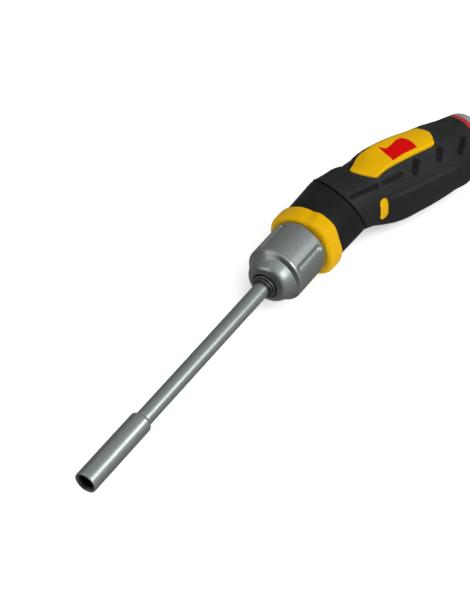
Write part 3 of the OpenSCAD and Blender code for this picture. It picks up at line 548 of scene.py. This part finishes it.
# Head
def make_ratchet_nose():
    bore_r, bush_r, mouth_edge, flute_floor = 12.6, 5.54, 7.2, 13.9
    dome_long, dome_tall = NOSE_FRONT - DOME_BACK, DOME_R - MOUTH_R
    corners = [
        (NOSE_BACK, bore_r, 0.1), (NOSE_BACK, NOSE_R, 0.45), (STEP_BACK - 0.3, NOSE_R, 1.2),
        (DOME_BACK, DOME_R, 0.5),
    ]
    corners += [(NOSE_FRONT - dome_long * math.cos(t) ** 3, MOUTH_R + dome_tall * math.cos(t), 0)
                for t in np.radians(np.arange(12, 88, 3))]
    corners += [(NOSE_FRONT, MOUTH_R + 0.1, 0.12), (NOSE_FRONT - 0.35, MOUTH_R - 0.15, 0.1),
                (NOSE_FRONT - 0.4, bush_r, 0.05), (NOSE_BORE_END, bush_r, 0.1), (NOSE_BORE_END, bore_r, 0.2)]
    outline = spaced(rounded(corners, 5), 0.45)
    # Painted shadow ring round the mouth
    mouth = (outline[:, 0] > NOSE_FRONT - 0.6) & (outline[:, 1] < mouth_edge)
    outline[mouth, 2] = -smoothstep(mouth_edge - outline[mouth, 1], 0, 0.5)

    def fluted(x, r, angle):
        pitch = 2 * math.pi / FLUTES
        off = (np.mod(angle - FLUTE_TURN + pitch / 2, pitch) - pitch / 2) * NOSE_R
        past = np.maximum(np.maximum(FLUTE_BACK - x, x - FLUTE_FRONT), 0)
        reach = np.sqrt(np.maximum(FLUTE_R ** 2 - off ** 2 - past ** 2, 0))
        deep = np.maximum(reach - FLUTE_OUT, 0)
        return np.where(r > flute_floor, r - deep, r)

    nose = piece("nose_housing", turned(outline, 576, shape=fluted), head_axes, 28)
    fit(nose, "head", "nose_steel", nose_steel, "ratchet_nose")


def make_nose_bushing():
    back, front, bore_r, sleeve_r, lip_r = NOSE_BORE_END + 0.04, NOSE_FRONT + 0.9, 4.05, 5.5, 6.0
    outline = rounded([
        (back, bore_r, 0.1), (back, sleeve_r, 0.2), (NOSE_FRONT + 0.02, sleeve_r, 0.05),
        (NOSE_FRONT + 0.04, lip_r, 0.2), (front, lip_r, 0.28), (front, 5.0, 0.1), (NOSE_FRONT + 0.7, 4.6, 0.1),
        (front, bore_r, 0.1),
    ], 4)
    fit(piece("mouth_bushing", turned(outline, 128), head_axes), "head", "dark_steel", bushing_steel, "nose_bushing")


# Degrees round the ring, and how far its lobes stand from the mean radius
RING_LOBES = np.array([
    (0, 0.5), (10, 0.75), (16, 0.8), (22, 0.4), (28, -0.2), (40, -0.9), (50, -0.7), (60, -0.2), (75, 0.1), (90, 0.45),
    (103, 0.25), (116, -0.4), (130, -1.1), (148, -0.7), (165, 0.0), (185, 0.1), (205, -0.9), (220, -0.6), (240, 0.1),
    (260, 0.2), (272, -0.1), (284, -0.6), (300, -0.9), (318, -1.0), (328, -1.15), (336, -1.35), (341, -0.9),
    (346, -0.1), (352, 0.35),
])


def make_selector_ring():
    back, step, seat_r, small_r = RING_BACK + 0.35, 31.15, 12.85, 11.15
    lobe_foot, lobe_full = 15.2, 16.4
    finger_out, finger_in, finger_end, finger_half = 12.3, 11.74, 49.1, 7
    outline = spaced(rounded([
        (back, seat_r, 0.15), (back, RING_R, 0.8), (RING_FRONT, RING_R, 2.8), (RING_FRONT, small_r, 0.2),
        (step, small_r, 0.1), (step, seat_r, 0.1),
    ], 10), 0.6)

    def lobed(x, r, angle):
        rise = np.interp(np.degrees(angle), RING_LOBES[:, 0], RING_LOBES[:, 1], period=360)
        rise = sum(np.roll(rise, k, -1) for k in range(-3, 4)) / 7
        return np.where(r > lobe_foot, r + rise * smoothstep(r, lobe_foot, lobe_full), r)

    body = turned(outline, 448, shape=lobed)
    fingers = []
    for side in (0, math.pi):
        arc = side + np.radians(np.linspace(-finger_half, finger_half, 13))
        round_arc = np.stack([np.sin(arc), np.cos(arc)], -1)
        band = np.concatenate([finger_out * round_arc, (finger_in * round_arc)[::-1]])
        fingers.append(prism(band, RING_FRONT - 0.5, finger_end, lengthwise))
    ring = piece("lobed_ring", joined(body, *fingers), head_axes, 40)
    fit(ring, "selector", "yellow_plastic", yellow_plastic, "selector_ring")


def make_swivel_collar():
    disc_r, disc_floor = 10.44, 2.64
    seat_r, seat_end, spigot_r, bore_r, bore_back = 12.8, 30.8, 10.8, 6.2, 12.0
    columns = 420
    angles = np.arange(columns) * 2 * math.pi / columns
    round_y, round_z = np.sin(angles), np.cos(angles)

    def slant_ring(depth, r):
        return tilted(np.stack([np.full(columns, depth), r * round_y, r * round_z], -1))

    def flat_ring(x, r):
        return np.stack([np.full(columns, x), r * round_y, r * round_z], -1)

    rings, rim = [], []

    def put(ring, worn=0.0):
        rings.append(ring)
        rim.append(np.full(columns, worn))

    put(slant_ring(SEAM_HALF, disc_r))
    for t in np.radians(np.arange(0, 91, 15)):
        depth = SEAM_HALF + SEAM_EDGE * (1 - math.cos(t))
        put(slant_ring(depth, SEAM_R - SEAM_EDGE + SEAM_EDGE * math.sin(t)), math.sin(t) * math.cos(t) * 2)
    start, end = slant_ring(SEAM_HALF + SEAM_EDGE, SEAM_R), flat_ring(RING_BACK - COLLAR_FLAT, COLLAR_R)
    for t in np.linspace(0.03, 1, 54):
        put(start + (end - start) * t)
    for t in np.radians(np.arange(0, 91, 15)):
        put(flat_ring(RING_BACK - 0.5 + 0.5 * math.sin(t), COLLAR_R - 0.5 + 0.5 * math.cos(t)), math.sin(2 * t))
    for x, r in ((RING_BACK, seat_r), (seat_end, seat_r), (seat_end, spigot_r), (NOSE_BACK, spigot_r),
                 (NOSE_BACK, bore_r), (bore_back, bore_r)):
        put(flat_ring(x, r))
    put(slant_ring(disc_floor, bore_r))
    put(slant_ring(disc_floor, disc_r))
    form = (np.array(rings).reshape(-1, 3), grid_faces(len(rings), columns, True), np.array(rim).reshape(-1))
    fit(piece("seam_collar", form, head_axes, 35), "head", "black_plastic", black_plastic, "swivel_collar")


# Grip, from the same sections as the solid
def grip_skin(place, angle, extra):
    """Points of the grip's skin at places along its table and angles from the top."""
    row = smooth_row(GRIP_SHARES, place)
    tilt = row[..., 1] * SEAM_SLANT
    tall = GRIP_R * np.where(np.cos(angle) >= 0, row[..., 2], row[..., 4]) + extra
    wide = GRIP_R * row[..., 3] + extra
    z = tall * np.cos(angle)
    x = -row[..., 0] * GRIP_LEN + z * np.sin(tilt) - (1 - row[..., 0]) * SEAM_HALF
    return np.stack([x, wide * np.sin(angle), z * np.cos(tilt) - row[..., 5] * GRIP_DROOP], -1)


# The lock button's outline from above: its front on either side, and its straight flank and rear
BUTTON_NEAR_RUN = np.array([(-7.8, -2.2), (-8.3, 0.0), (-9.9, 3.0), (-12.3, 5.8), (-14.3, 7.6), (-15.6, 8.6)])
BUTTON_FAR_RUN = np.array([(-7.8, -2.2), (-8.6, -3.6), (-12.0, -5.5), (-15.7, -7.4), (-19.0, -8.2)])
BUTTON_REAR_RUN = np.array([(-22.7, 7.8), (-51.2, 7.49), (-55.82, 4.84), (-57.8, 0.0)])
BUTTON_GAP = 0.55


def button_side(front, side):
    """One side of the lock button's outline from above, from its tip to its rear."""
    runs = [smooth_row(run, np.linspace(0, len(run) - 1, 60)) for run in (front, BUTTON_REAR_RUN * (1, side))]
    return np.concatenate(runs)


button_near, button_far = button_side(BUTTON_NEAR_RUN, 1), button_side(BUTTON_FAR_RUN, -1)


def button_loop(margin):
    loop = np.concatenate([button_near, button_far[-2:0:-1]])
    run = np.roll(loop, -1, 0) - np.roll(loop, 1, 0)
    out = np.column_stack([run[:, 1], -run[:, 0]])
    return loop + margin * out / np.linalg.norm(out, axis=1, keepdims=True)


def loop_distance(points, loop):
    """Distance from flat points to a closed loop, below zero inside it."""
    a, b = loop, np.roll(loop, -1, 0)
    best = np.full(len(points), 1e9)
    inside = np.zeros(len(points), bool)
    for p, q in zip(a, b):
        d = q - p
        along = np.clip(((points - p) @ d) / max(d @ d, 1e-12), 0, 1)
        best = np.minimum(best, np.linalg.norm(points - p - along[:, None] * d, axis=1))
        if p[1] != q[1]:
            crosses = (p[1] > points[:, 1]) != (q[1] > points[:, 1])
            at = p[0] + (points[:, 1] - p[1]) * d[0] / d[1]
            inside ^= crosses & (points[:, 0] < at)
    return np.where(inside, -best, best)


def bar_distance(u, v, a, b):
    """Distance to a straight bar, on the unrolled skin."""
    d = np.subtract(b, a)
    along = np.clip(((u - a[0]) * d[0] + (v - a[1]) * d[1]) / (d @ d), 0, 1)
    return np.hypot(u - a[0] - along * d[0], v - a[1] - along * d[1])


# Bars that are hollowed out of the grip: millimetres behind the seam and degrees from the button, at either end
GRIP_RECESSES = ((39.4, 31.0, 35.8, 44.0), (56.3, 28.5, 52.7, 41.5), (73.6, 27.0, 67.4, 45.5))
GRIP_SLOTS = ((-1.5, 33.0, 13.4, 37.0), (17.4, 38.5, 28.1, 37.5))
MM_PER_DEGREE = 0.35
# How far the far cheek of the grip falls away, at millimetres behind the seam
FAR_CHEEK = np.array([
    (6, 0), (9, 0.8), (12, 2.4), (15, 3.1), (18, 2.9), (21, 2.4), (24, 1.8), (27, 1.4), (31, 1.0), (54, 0.9), (66, 0),
])


def button_upright(flat, height):
    return turned_round(upright(flat, height), BUTTON_TURN)


def button_sideways(flat, depth):
    return turned_round(sideways(flat, depth), BUTTON_TURN)


def make_rubber_grip():
    rows, columns = 300, 420
    rear_bore_r, rear_bore_drop, core_r = 11.1, 2.5, 14.4
    place = np.linspace(0, 10, rows)
    angle = np.arange(columns) * 2 * math.pi / columns
    grid_place, grid_angle = np.meshgrid(place, angle, indexing="ij")
    skin = grip_skin(grid_place, grid_angle, 0.0)
    # Unrolled: distance behind the seam, and degrees to either side of the button's middle
    behind = -skin[..., 0]
    aside = np.degrees(np.abs(np.mod(grid_angle - BUTTON_TURN + math.pi, 2 * math.pi) - math.pi))
    lift = np.zeros_like(behind)
    # Recesses and slots are sunk in, and dark holds the painted shade put into them
    dark = np.zeros_like(behind)
    for bars, reach, depth, painted_shade in ((GRIP_RECESSES, 2.6, 1.8, 1.0), (GRIP_SLOTS, 1.7, 0.9, 0.65)):
        for start, top, stop, low in bars:
            gap = bar_distance(behind, aside * MM_PER_DEGREE, (start, top * MM_PER_DEGREE), (stop, low * MM_PER_DEGREE))
            hollow = 1 - smoothstep(gap, 0.0, reach)
            lift -= depth * hollow
            dark = np.maximum(dark, painted_shade * hollow)
    # A crease along each side, with the belly set back below it
    crease = 65.5
    run = smoothstep(behind, 14, 24) * (1 - smoothstep(behind, 56, 72))
    below = smoothstep(aside, crease - 1.0, crease + 9.0) * (1 - smoothstep(aside, 95, 135))
    ridge = np.exp(-((aside - crease) / 2.8) ** 2)
    lift += run * (0.4 * ridge - 0.35 * below)
    # The far cheek falls away beside the button
    cheek = smoothstep(aside, 20, 40) * (1 - smoothstep(aside, 62, 86))
    far = np.where(np.sin(grid_angle - BUTTON_TURN) < 0, cheek, 0)
    lift -= far * np.interp(behind, FAR_CHEEK[:, 0], FAR_CHEEK[:, 1])
    # A soft lip round the lock button
    flat = turned_round(skin, -BUTTON_TURN)
    gap = loop_distance(flat[..., :2].reshape(-1, 2), button_loop(BUTTON_GAP)[::3]).reshape(behind.shape)
    lip = (1 - smoothstep(gap, 0.3, 3.2)) * (flat[..., 2] > 0)
    lift += 0.2 * lip
    # Nothing stands out or in at the seam and at the red band
    lift *= smoothstep(behind + skin[..., 2] * math.tan(SEAM_SLANT) * (1 - smoothstep(behind, 10, 25)), 0.3, 2.5)
    lift *= 1 - smoothstep(behind, 76.5, 79.8)
    skin = grip_skin(grid_place, grid_angle, lift)
    # Rim values: painted shade in the hollows below zero, wear on the button's lip and the crease above
    rim = np.where(dark > 0.05, -dark, np.clip(np.maximum(lip * 0.5, run * ridge), 0, 1))

    def tube_ring(x, r, drop):
        return np.stack([np.full(columns, x), r * np.sin(angle), r * np.cos(angle) - drop], -1)

    seam = [tilted(tube_ring(-SEAM_HALF - SEAM_EDGE * (1 - math.sin(t)), SEAM_R - SEAM_EDGE * (1 - math.cos(t)), 0))
            for t in np.radians((90, 75, 60, 45, 30, 15))]
    inner = [tube_ring(-GRIP_LEN, rear_bore_r, rear_bore_drop), tube_ring(-57.0, rear_bore_r, rear_bore_drop),
             tube_ring(-56.1, core_r, 0), tube_ring(-9.0, core_r, 0), tilted(tube_ring(-1.6, core_r + 0.2, 0)),
             tilted(tube_ring(-SEAM_HALF, core_r, 0))]
    rings = np.concatenate([np.array(seam), skin[3:], np.array(inner)])
    # worn carries the rim values, with the painted shade in the hollows
    worn = np.concatenate([np.full((len(seam), columns), 0.5), rim[3:], np.zeros((len(inner), columns))])
    form = (rings.reshape(-1, 3), grid_faces(len(rings), columns, True), worn.reshape(-1))
    grip = piece("grip_overmould", form, handle_axes, 40)

    # Openings: the button's well, the slot for its leg, and an oval window on each side
    well = prism(button_loop(BUTTON_GAP), 4.0, 40.0, button_upright)
    slot = prism(np.array([(-23.5, 7.4), (-6.5, 7.4), (-6.5, 10.6), (-23.5, 10.6)]), 5.0, 13.4, upright)
    t = np.linspace(0, math.pi, 25)
    top = np.column_stack([2.54 * np.cos(t), 3.7 + 2.54 * np.sin(t)])
    oval = np.concatenate([top, -top]) - (14.4, 1.5)
    holes = [prism(oval, low, high, sideways) for low, high in ((10.0, 30.0), (-30.0, -10.0))]
    for number, opening in enumerate((well, slot, *holes)):
        cut(grip, piece(f"grip_opening_{number}", opening, handle_axes))
    grip.data.set_sharp_from_angle(angle=math.radians(40))
    fit(grip, "handle", "black_rubber", black_rubber, "rubber_grip")


def grip_top(flat, extra):
    """Height of the grip form over flat points of the turned button."""
    place = np.interp(-flat[:, 0] / GRIP_LEN, GRIP_SHARES[:, 0], np.arange(len(GRIP_SHARES)))
    angle = BUTTON_TURN + np.arcsin(np.clip(flat[:, 1] / GRIP_R, -0.95, 0.95))
    for _ in range(30):
        got = turned_round(grip_skin(place, angle, extra), -BUTTON_TURN)
        place = np.clip(place + (got[:, 0] - flat[:, 0]) * 0.1, 0, 10)
        angle = angle + (flat[:, 1] - got[:, 1]) / GRIP_R
    return turned_round(grip_skin(place, angle, extra), -BUTTON_TURN)[:, 2]


BUTTON_PROUD, BUTTON_FRONT_PROUD, BUTTON_ROUND = 1.5, 0.5, 1.0
# How much higher the button's far side stands, at millimetres behind the seam
BUTTON_HUMP = np.array([(6.8, -0.6), (12, -0.8), (16, -0.3), (20, 0.6), (25, 1.3), (32, 0.9), (45, 0)])


def button_surface(flat):
    """Height of the lock button's crowned top, low at its front and rolled off at its edge."""
    inset = np.maximum(-loop_distance(flat, button_loop(0.0)), 0)
    roll = BUTTON_ROUND - np.sqrt(np.maximum(BUTTON_ROUND ** 2 - np.maximum(BUTTON_ROUND - inset, 0) ** 2, 0))
    behind = -flat[:, 0]
    proud = BUTTON_FRONT_PROUD + (BUTTON_PROUD - BUTTON_FRONT_PROUD) * smoothstep(behind, 8, 32)
    proud += smoothstep(-flat[:, 1], -1, 7) * np.interp(behind, BUTTON_HUMP[:, 0], BUTTON_HUMP[:, 1])
    return grip_top(flat, proud) - roll, inset


def make_lock_button():
    across, seat_r = 71, 15.4
    lug_x, lug_z, lug_r, lug_top = -50, 9, 2.6, 15.9
    t = np.linspace(0, 1, 150)
    ease = 0.5 - 0.5 * np.cos(math.pi * t)
    tip, rear = button_near[0, 0], button_near[-1, 0]
    stations = (tip + (rear - tip) * (0.45 * t + 0.55 * ease))[1:-1]
    near, far = (np.interp(-stations, -side[:, 0], side[:, 1])[:, None] for side in (button_near, button_far))
    spread = np.linspace(-1, 1, across)
    spread = 0.35 * spread + 0.65 * np.sin(spread * math.pi / 2)
    aside = (near + far + (near - far) * spread) / 2
    flat = np.stack([np.repeat(stations[:, None], across, 1), aside], -1).reshape(-1, 2)
    rows, count = len(stations), len(flat)
    top, inset = button_surface(flat)
    under = np.minimum(np.sqrt(seat_r ** 2 - flat[:, 1] ** 2), top - 0.3)
    points = np.concatenate([np.column_stack([flat, top]), np.column_stack([flat, under])])
    points = turned_round(points, BUTTON_TURN)
    faces = []
    for i in range(rows - 1):
        for j in range(across - 1):
            a = i * across + j
            b = a + across
            faces.append([a, a + 1, b + 1, b])
            faces.append([count + a, count + b, count + b + 1, count + a + 1])
    border = list(range(across)) + [i * across + across - 1 for i in range(1, rows)]
    border += [(rows - 1) * across + j for j in range(across - 2, -1, -1)]
    border += [i * across for i in range(rows - 2, 0, -1)]
    for a, b in zip(border, border[1:] + border[:1]):
        faces.append([a, b, count + b, count + a])
    rim = np.concatenate([1 - smoothstep(inset, 0.1, 1.3), np.zeros(count)])
    # Below the cap: a lug on the hinge pin, and a leg that draws the plunger back
    t = np.linspace(math.pi, 2 * math.pi, 25)
    lug = np.concatenate([np.column_stack([lug_r * np.cos(t) + lug_x, lug_r * np.sin(t) + lug_z]),
                          [(lug_x + lug_r, lug_top), (lug_x - lug_r, lug_top)]])
    leg = np.array([(-19.5, 13.8), (-14.5, 6.4), (-13.0, 6.4), (-13.0, 13.8)])
    form = joined((points, faces, rim), prism(lug, -2.0, 2.0, button_sideways), prism(leg, 8.25, 10.25, sideways))
    fit(piece("thumb_button", form, handle_axes, 45), "button", "yellow_plastic", yellow_plastic, "lock_button")


def make_button_mark():
    """A red arrow let into the button's top."""
    outline = np.array([
        (-26.9, -4.5), (-29.6, -1.2), (-33.3, -1.8), (-36.0, -2.7), (-38.6, -3.5), (-41.2, -3.1), (-43.1, -0.8),
        (-43.7, 2.1), (-43.7, 6.1), (-38.6, 6.1), (-33.9, 6.1), (-27.5, 6.6), (-27.0, 1.0),
    ])
    cell, stands_out, let_in = 0.35, 0.05, 0.25
    xs = np.arange(-46, -25, cell)
    ys = np.arange(-6, 8.5, cell)
    flat = np.stack(np.meshgrid(xs, ys, indexing="ij"), -1).reshape(-1, 2)
    gap = loop_distance(flat, outline)
    count_y = len(ys)
    # Grid points beside the outline are drawn onto it
    near = np.abs(gap) < cell * 0.75
    for k in np.nonzero(near)[0]:
        best = None
        for p, q in zip(outline, np.roll(outline, -1, 0)):
            d = q - p
            along = np.clip((flat[k] - p) @ d / (d @ d), 0, 1)
            at = p + along * d
            away = np.linalg.norm(flat[k] - at)
            if best is None or away < best[0]:
                best = (away, at)
        flat[k] = best[1]
    used = (gap < 0) | near
    faces = []
    for i in range(len(xs) - 1):
        for j in range(count_y - 1):
            quad = [i * count_y + j, (i + 1) * count_y + j, (i + 1) * count_y + j + 1, i * count_y + j + 1]
            if used[quad].all() and (gap[quad] < cell * 0.2).sum() >= 2:
                faces.append(quad)
    ids = sorted({v for face in faces for v in face})
    number = {v: i for i, v in enumerate(ids)}
    flat = flat[ids]
    height = button_surface(flat)[0]
    count = len(ids)
    top = [[number[v] for v in face] for face in faces]
    edges = {}
    for face in top:
        for a, b in zip(face, face[1:] + face[:1]):
            edges[(a, b)] = edges.get((a, b), 0) + 1
    walls = [[a, b, count + b, count + a] for (a, b) in edges if (b, a) not in edges]
    base = [[count + v for v in reversed(face)] for face in top]
    points = np.concatenate([np.column_stack([flat, height + stands_out]), np.column_stack([flat, height - let_in])])
    points = turned_round(points, BUTTON_TURN)
    mark = piece("button_arrow", (points, top + base + walls, np.zeros(2 * count)), handle_axes, 50)
    fit(mark, "button", "red_plastic", red_mark)


# End of the handle
def make_end_band():
    outline = spaced(rounded([
        (-GRIP_LEN - 0.04, 9.05, 0.1), (-GRIP_LEN - 0.04, REAR_R - 0.02, 0.4), (-BAND_BACK, REAR_R - 0.14, 0.45),
        (-BAND_BACK, 9.05, 0.1),
    ], 6), 0.7)
    band = piece("rear_band", turned(outline, 192, drop=REAR_DROP), handle_axes)
    fit(band, "handle", "red_plastic", red_plastic, "end_band")


def make_end_cap():
    plug_end, plug_r, flat_r, round_long, round_tall = -BAND_BACK + 4, 5.96, 9.5, 5.6, REAR_R - 9.82
    corners = [(plug_end, 0.3, 0), (plug_end, plug_r, 0.3), (-BAND_BACK - 0.04, plug_r, 0.1),
               (-BAND_BACK - 0.04, REAR_R - 0.32, 0.35)]
    corners += [(-CAP_BACK + round_long * (1 - math.sin(t)), flat_r + round_tall * math.cos(t), 0)
                for t in np.radians(np.arange(0, 88, 4))]
    corners += [(-CAP_BACK, flat_r, 0), (-CAP_BACK, 0.3, 0)]
    outline = spaced(rounded(corners, 12, closed=False), 0.7, closed=False)
    cap = piece("rear_cap", turned(outline, 192, closed=False, drop=REAR_DROP), handle_axes)
    fit(cap, "handle", "grey_cap", grey_cap, "end_cap")


make_drive_shaft()
make_bit_socket()
make_front_clip()
make_ratchet_nose()
make_nose_bushing()
make_selector_ring()
make_swivel_collar()
make_rubber_grip()
make_lock_button()
make_button_mark()
make_end_band()
make_end_cap()


# Floor, light and camera
def make_floor():
    low = cad_box[0][2] - 0.0004
    side = 4.0
    mesh = bpy.data.meshes.new("floor")
    corners = [(-side, -side, low), (side, -side, low), (side, side, low), (-side, side, low)]
    mesh.from_pydata(corners, [], [(0, 1, 2, 3)])
    floor = bpy.data.objects.new("floor", mesh)
    bpy.context.scene.collection.objects.link(floor)
    material, tree, sockets = new_finish("pale_floor")
    place = add(tree, "ShaderNodeTexCoord").outputs["Object"]
    feed(tree, sockets["Base Color"], mixed(tree, noise(tree, place, 3.0), (0.86, 0.86, 0.86, 1), (0.9, 0.9, 0.9, 1)))
    feed(tree, sockets["Roughness"], ranged(tree, noise(tree, place, 40.0), 0.3, 0.7, 0.75, 0.85))
    sockets["Emission Color"].default_value = (1, 1, 1, 1)
    sockets["Emission Strength"].default_value = 0.3
    mesh.materials.append(material)
    floor.visible_glossy = False


SHAFT_MIDDLE, NOSE_SIDE, PAST_HANDLE = (-0.11, 0.0, 0.0), (-0.145, 0.0, 0.0), (-0.5, 0.0, 0.0)
# Name, direction from the tool, distance, size, power, place that it faces, and whether it shows in reflections
LIGHTS = (
    ("side_box", (0.0, 0.69, 0.72), 0.9, (0.38, 0.4), 1.45, PAST_HANDLE, True),
    ("nose_box", (0.206, 0.714, 0.669), 0.9, (0.34, 0.5), 0.95, NOSE_SIDE, True),
    ("far_box", (-0.15, -0.66, 0.735), 0.9, (0.1, 0.5), 0.2, NOSE_SIDE, True),
    ("front_card", (0.7, -0.5, 0.46), 0.9, (0.34, 0.8), 0.65, NOSE_SIDE, True),
    ("overhead_box", (0.15, 0.4, 1.0), 1.3, (1.6, 1.6), 19, SHAFT_MIDDLE, False),
    ("front_fill", (0.9, 0.1, 0.35), 1.4, (0.8, 0.8), 1.2, SHAFT_MIDDLE, False),
)


def make_light(name, direction, distance, size, power, aim, gleams):
    """A soft box whose longer side lies along the head axis."""
    lamp = bpy.data.lights.new(name, "AREA")
    lamp.shape = "RECTANGLE"
    lamp.size, lamp.size_y = size
    lamp.energy = power
    made = bpy.data.objects.new(name, lamp)
    bpy.context.scene.collection.objects.link(made)
    back = Vector(direction).normalized()
    along = (Vector((1, 0, 0)) - back * back.x).normalized()
    turn = Matrix((along, back.cross(along), back)).transposed().to_4x4()
    made.matrix_world = Matrix.Translation(Vector(aim) + back * distance) @ turn
    made.visible_glossy = gleams


# The studio's brightness from below to above on the near side, and its dark front
SKY_STOPS = (
    (0.0, (0.2, 0.2, 0.19, 1)), (0.2, (0.185, 0.19, 0.18, 1)), (0.27, (0.24, 0.245, 0.235, 1)),
    (0.5, (0.32, 0.315, 0.29, 1)), (0.7, (0.4, 0.415, 0.41, 1)), (0.815, (0.5, 0.525, 0.52, 1)),
    (0.92, (0.64, 0.69, 0.69, 1)), (1.0, (0.74, 0.8, 0.8, 1)),
)
DARK_FRONT = (0.11, 0.115, 0.11, 1)


def make_world():
    world = bpy.data.worlds.new("studio")
    bpy.context.scene.world = world
    world.use_nodes = True
    tree = world.node_tree
    back = tree.nodes["Background"]
    parts = add(tree, "ShaderNodeSeparateXYZ", {0: add(tree, "ShaderNodeTexCoord").outputs["Generated"]}).outputs
    height = maths(tree, "ADD", maths(tree, "MULTIPLY", parts["Y"], 0.6), maths(tree, "MULTIPLY", parts["Z"], 0.8))
    ramp = tree.nodes.new("ShaderNodeValToRGB")
    feed(tree, ramp.inputs[0], ranged(tree, height, -1.0, 1.0))
    stops = ramp.color_ramp.elements
    for stop, (_, colour) in zip(stops, (SKY_STOPS[0], SKY_STOPS[-1])):
        stop.color = colour
    for position, colour in SKY_STOPS[1:-1]:
        stops.new(position).color = colour
    ahead = ranged(tree, parts["X"], 0.5, 0.8)
    feed(tree, back.inputs["Color"], mixed(tree, ahead, ramp.outputs["Color"], DARK_FRONT))
    back.inputs["Strength"].default_value = 1.0


# The camera's place and aim from the swivel in metres, its roll in degrees and its lens in the picture's pixels
CAMERA_AT, CAMERA_AIM = (0.562799, 0.242684, 0.641513), (0.075554, -0.0097, -0.007633)
CAMERA_ROLL, CAMERA_FOCUS, PICTURE_HIGH = -8.4576, 1800, 597


def make_camera():
    """At the photograph's viewing angle, with its slight roll."""
    lens = bpy.data.cameras.new("camera")
    lens.sensor_width = 36.0
    lens.lens = CAMERA_FOCUS / PICTURE_HIGH * 36
    lens.clip_start, lens.clip_end = 0.01, 20
    made = bpy.data.objects.new("camera", lens)
    bpy.context.scene.collection.objects.link(made)
    at = Vector(seam_centre) + Vector(CAMERA_AT)
    aim = Vector(seam_centre) + Vector(CAMERA_AIM)
    forward = (aim - at).normalized()
    roll = Matrix.Rotation(math.radians(CAMERA_ROLL), 4, forward)
    turn = (aim - at).to_track_quat("-Z", "Y").to_matrix().to_4x4()
    made.matrix_world = Matrix.Translation(at) @ roll @ turn
    bpy.context.scene.camera = made


make_floor()
make_world()
for light in LIGHTS:
    make_light(*light)
make_camera()
bpy.context.scene.view_settings.view_transform = "Standard"

bpy.context.view_layer.update()
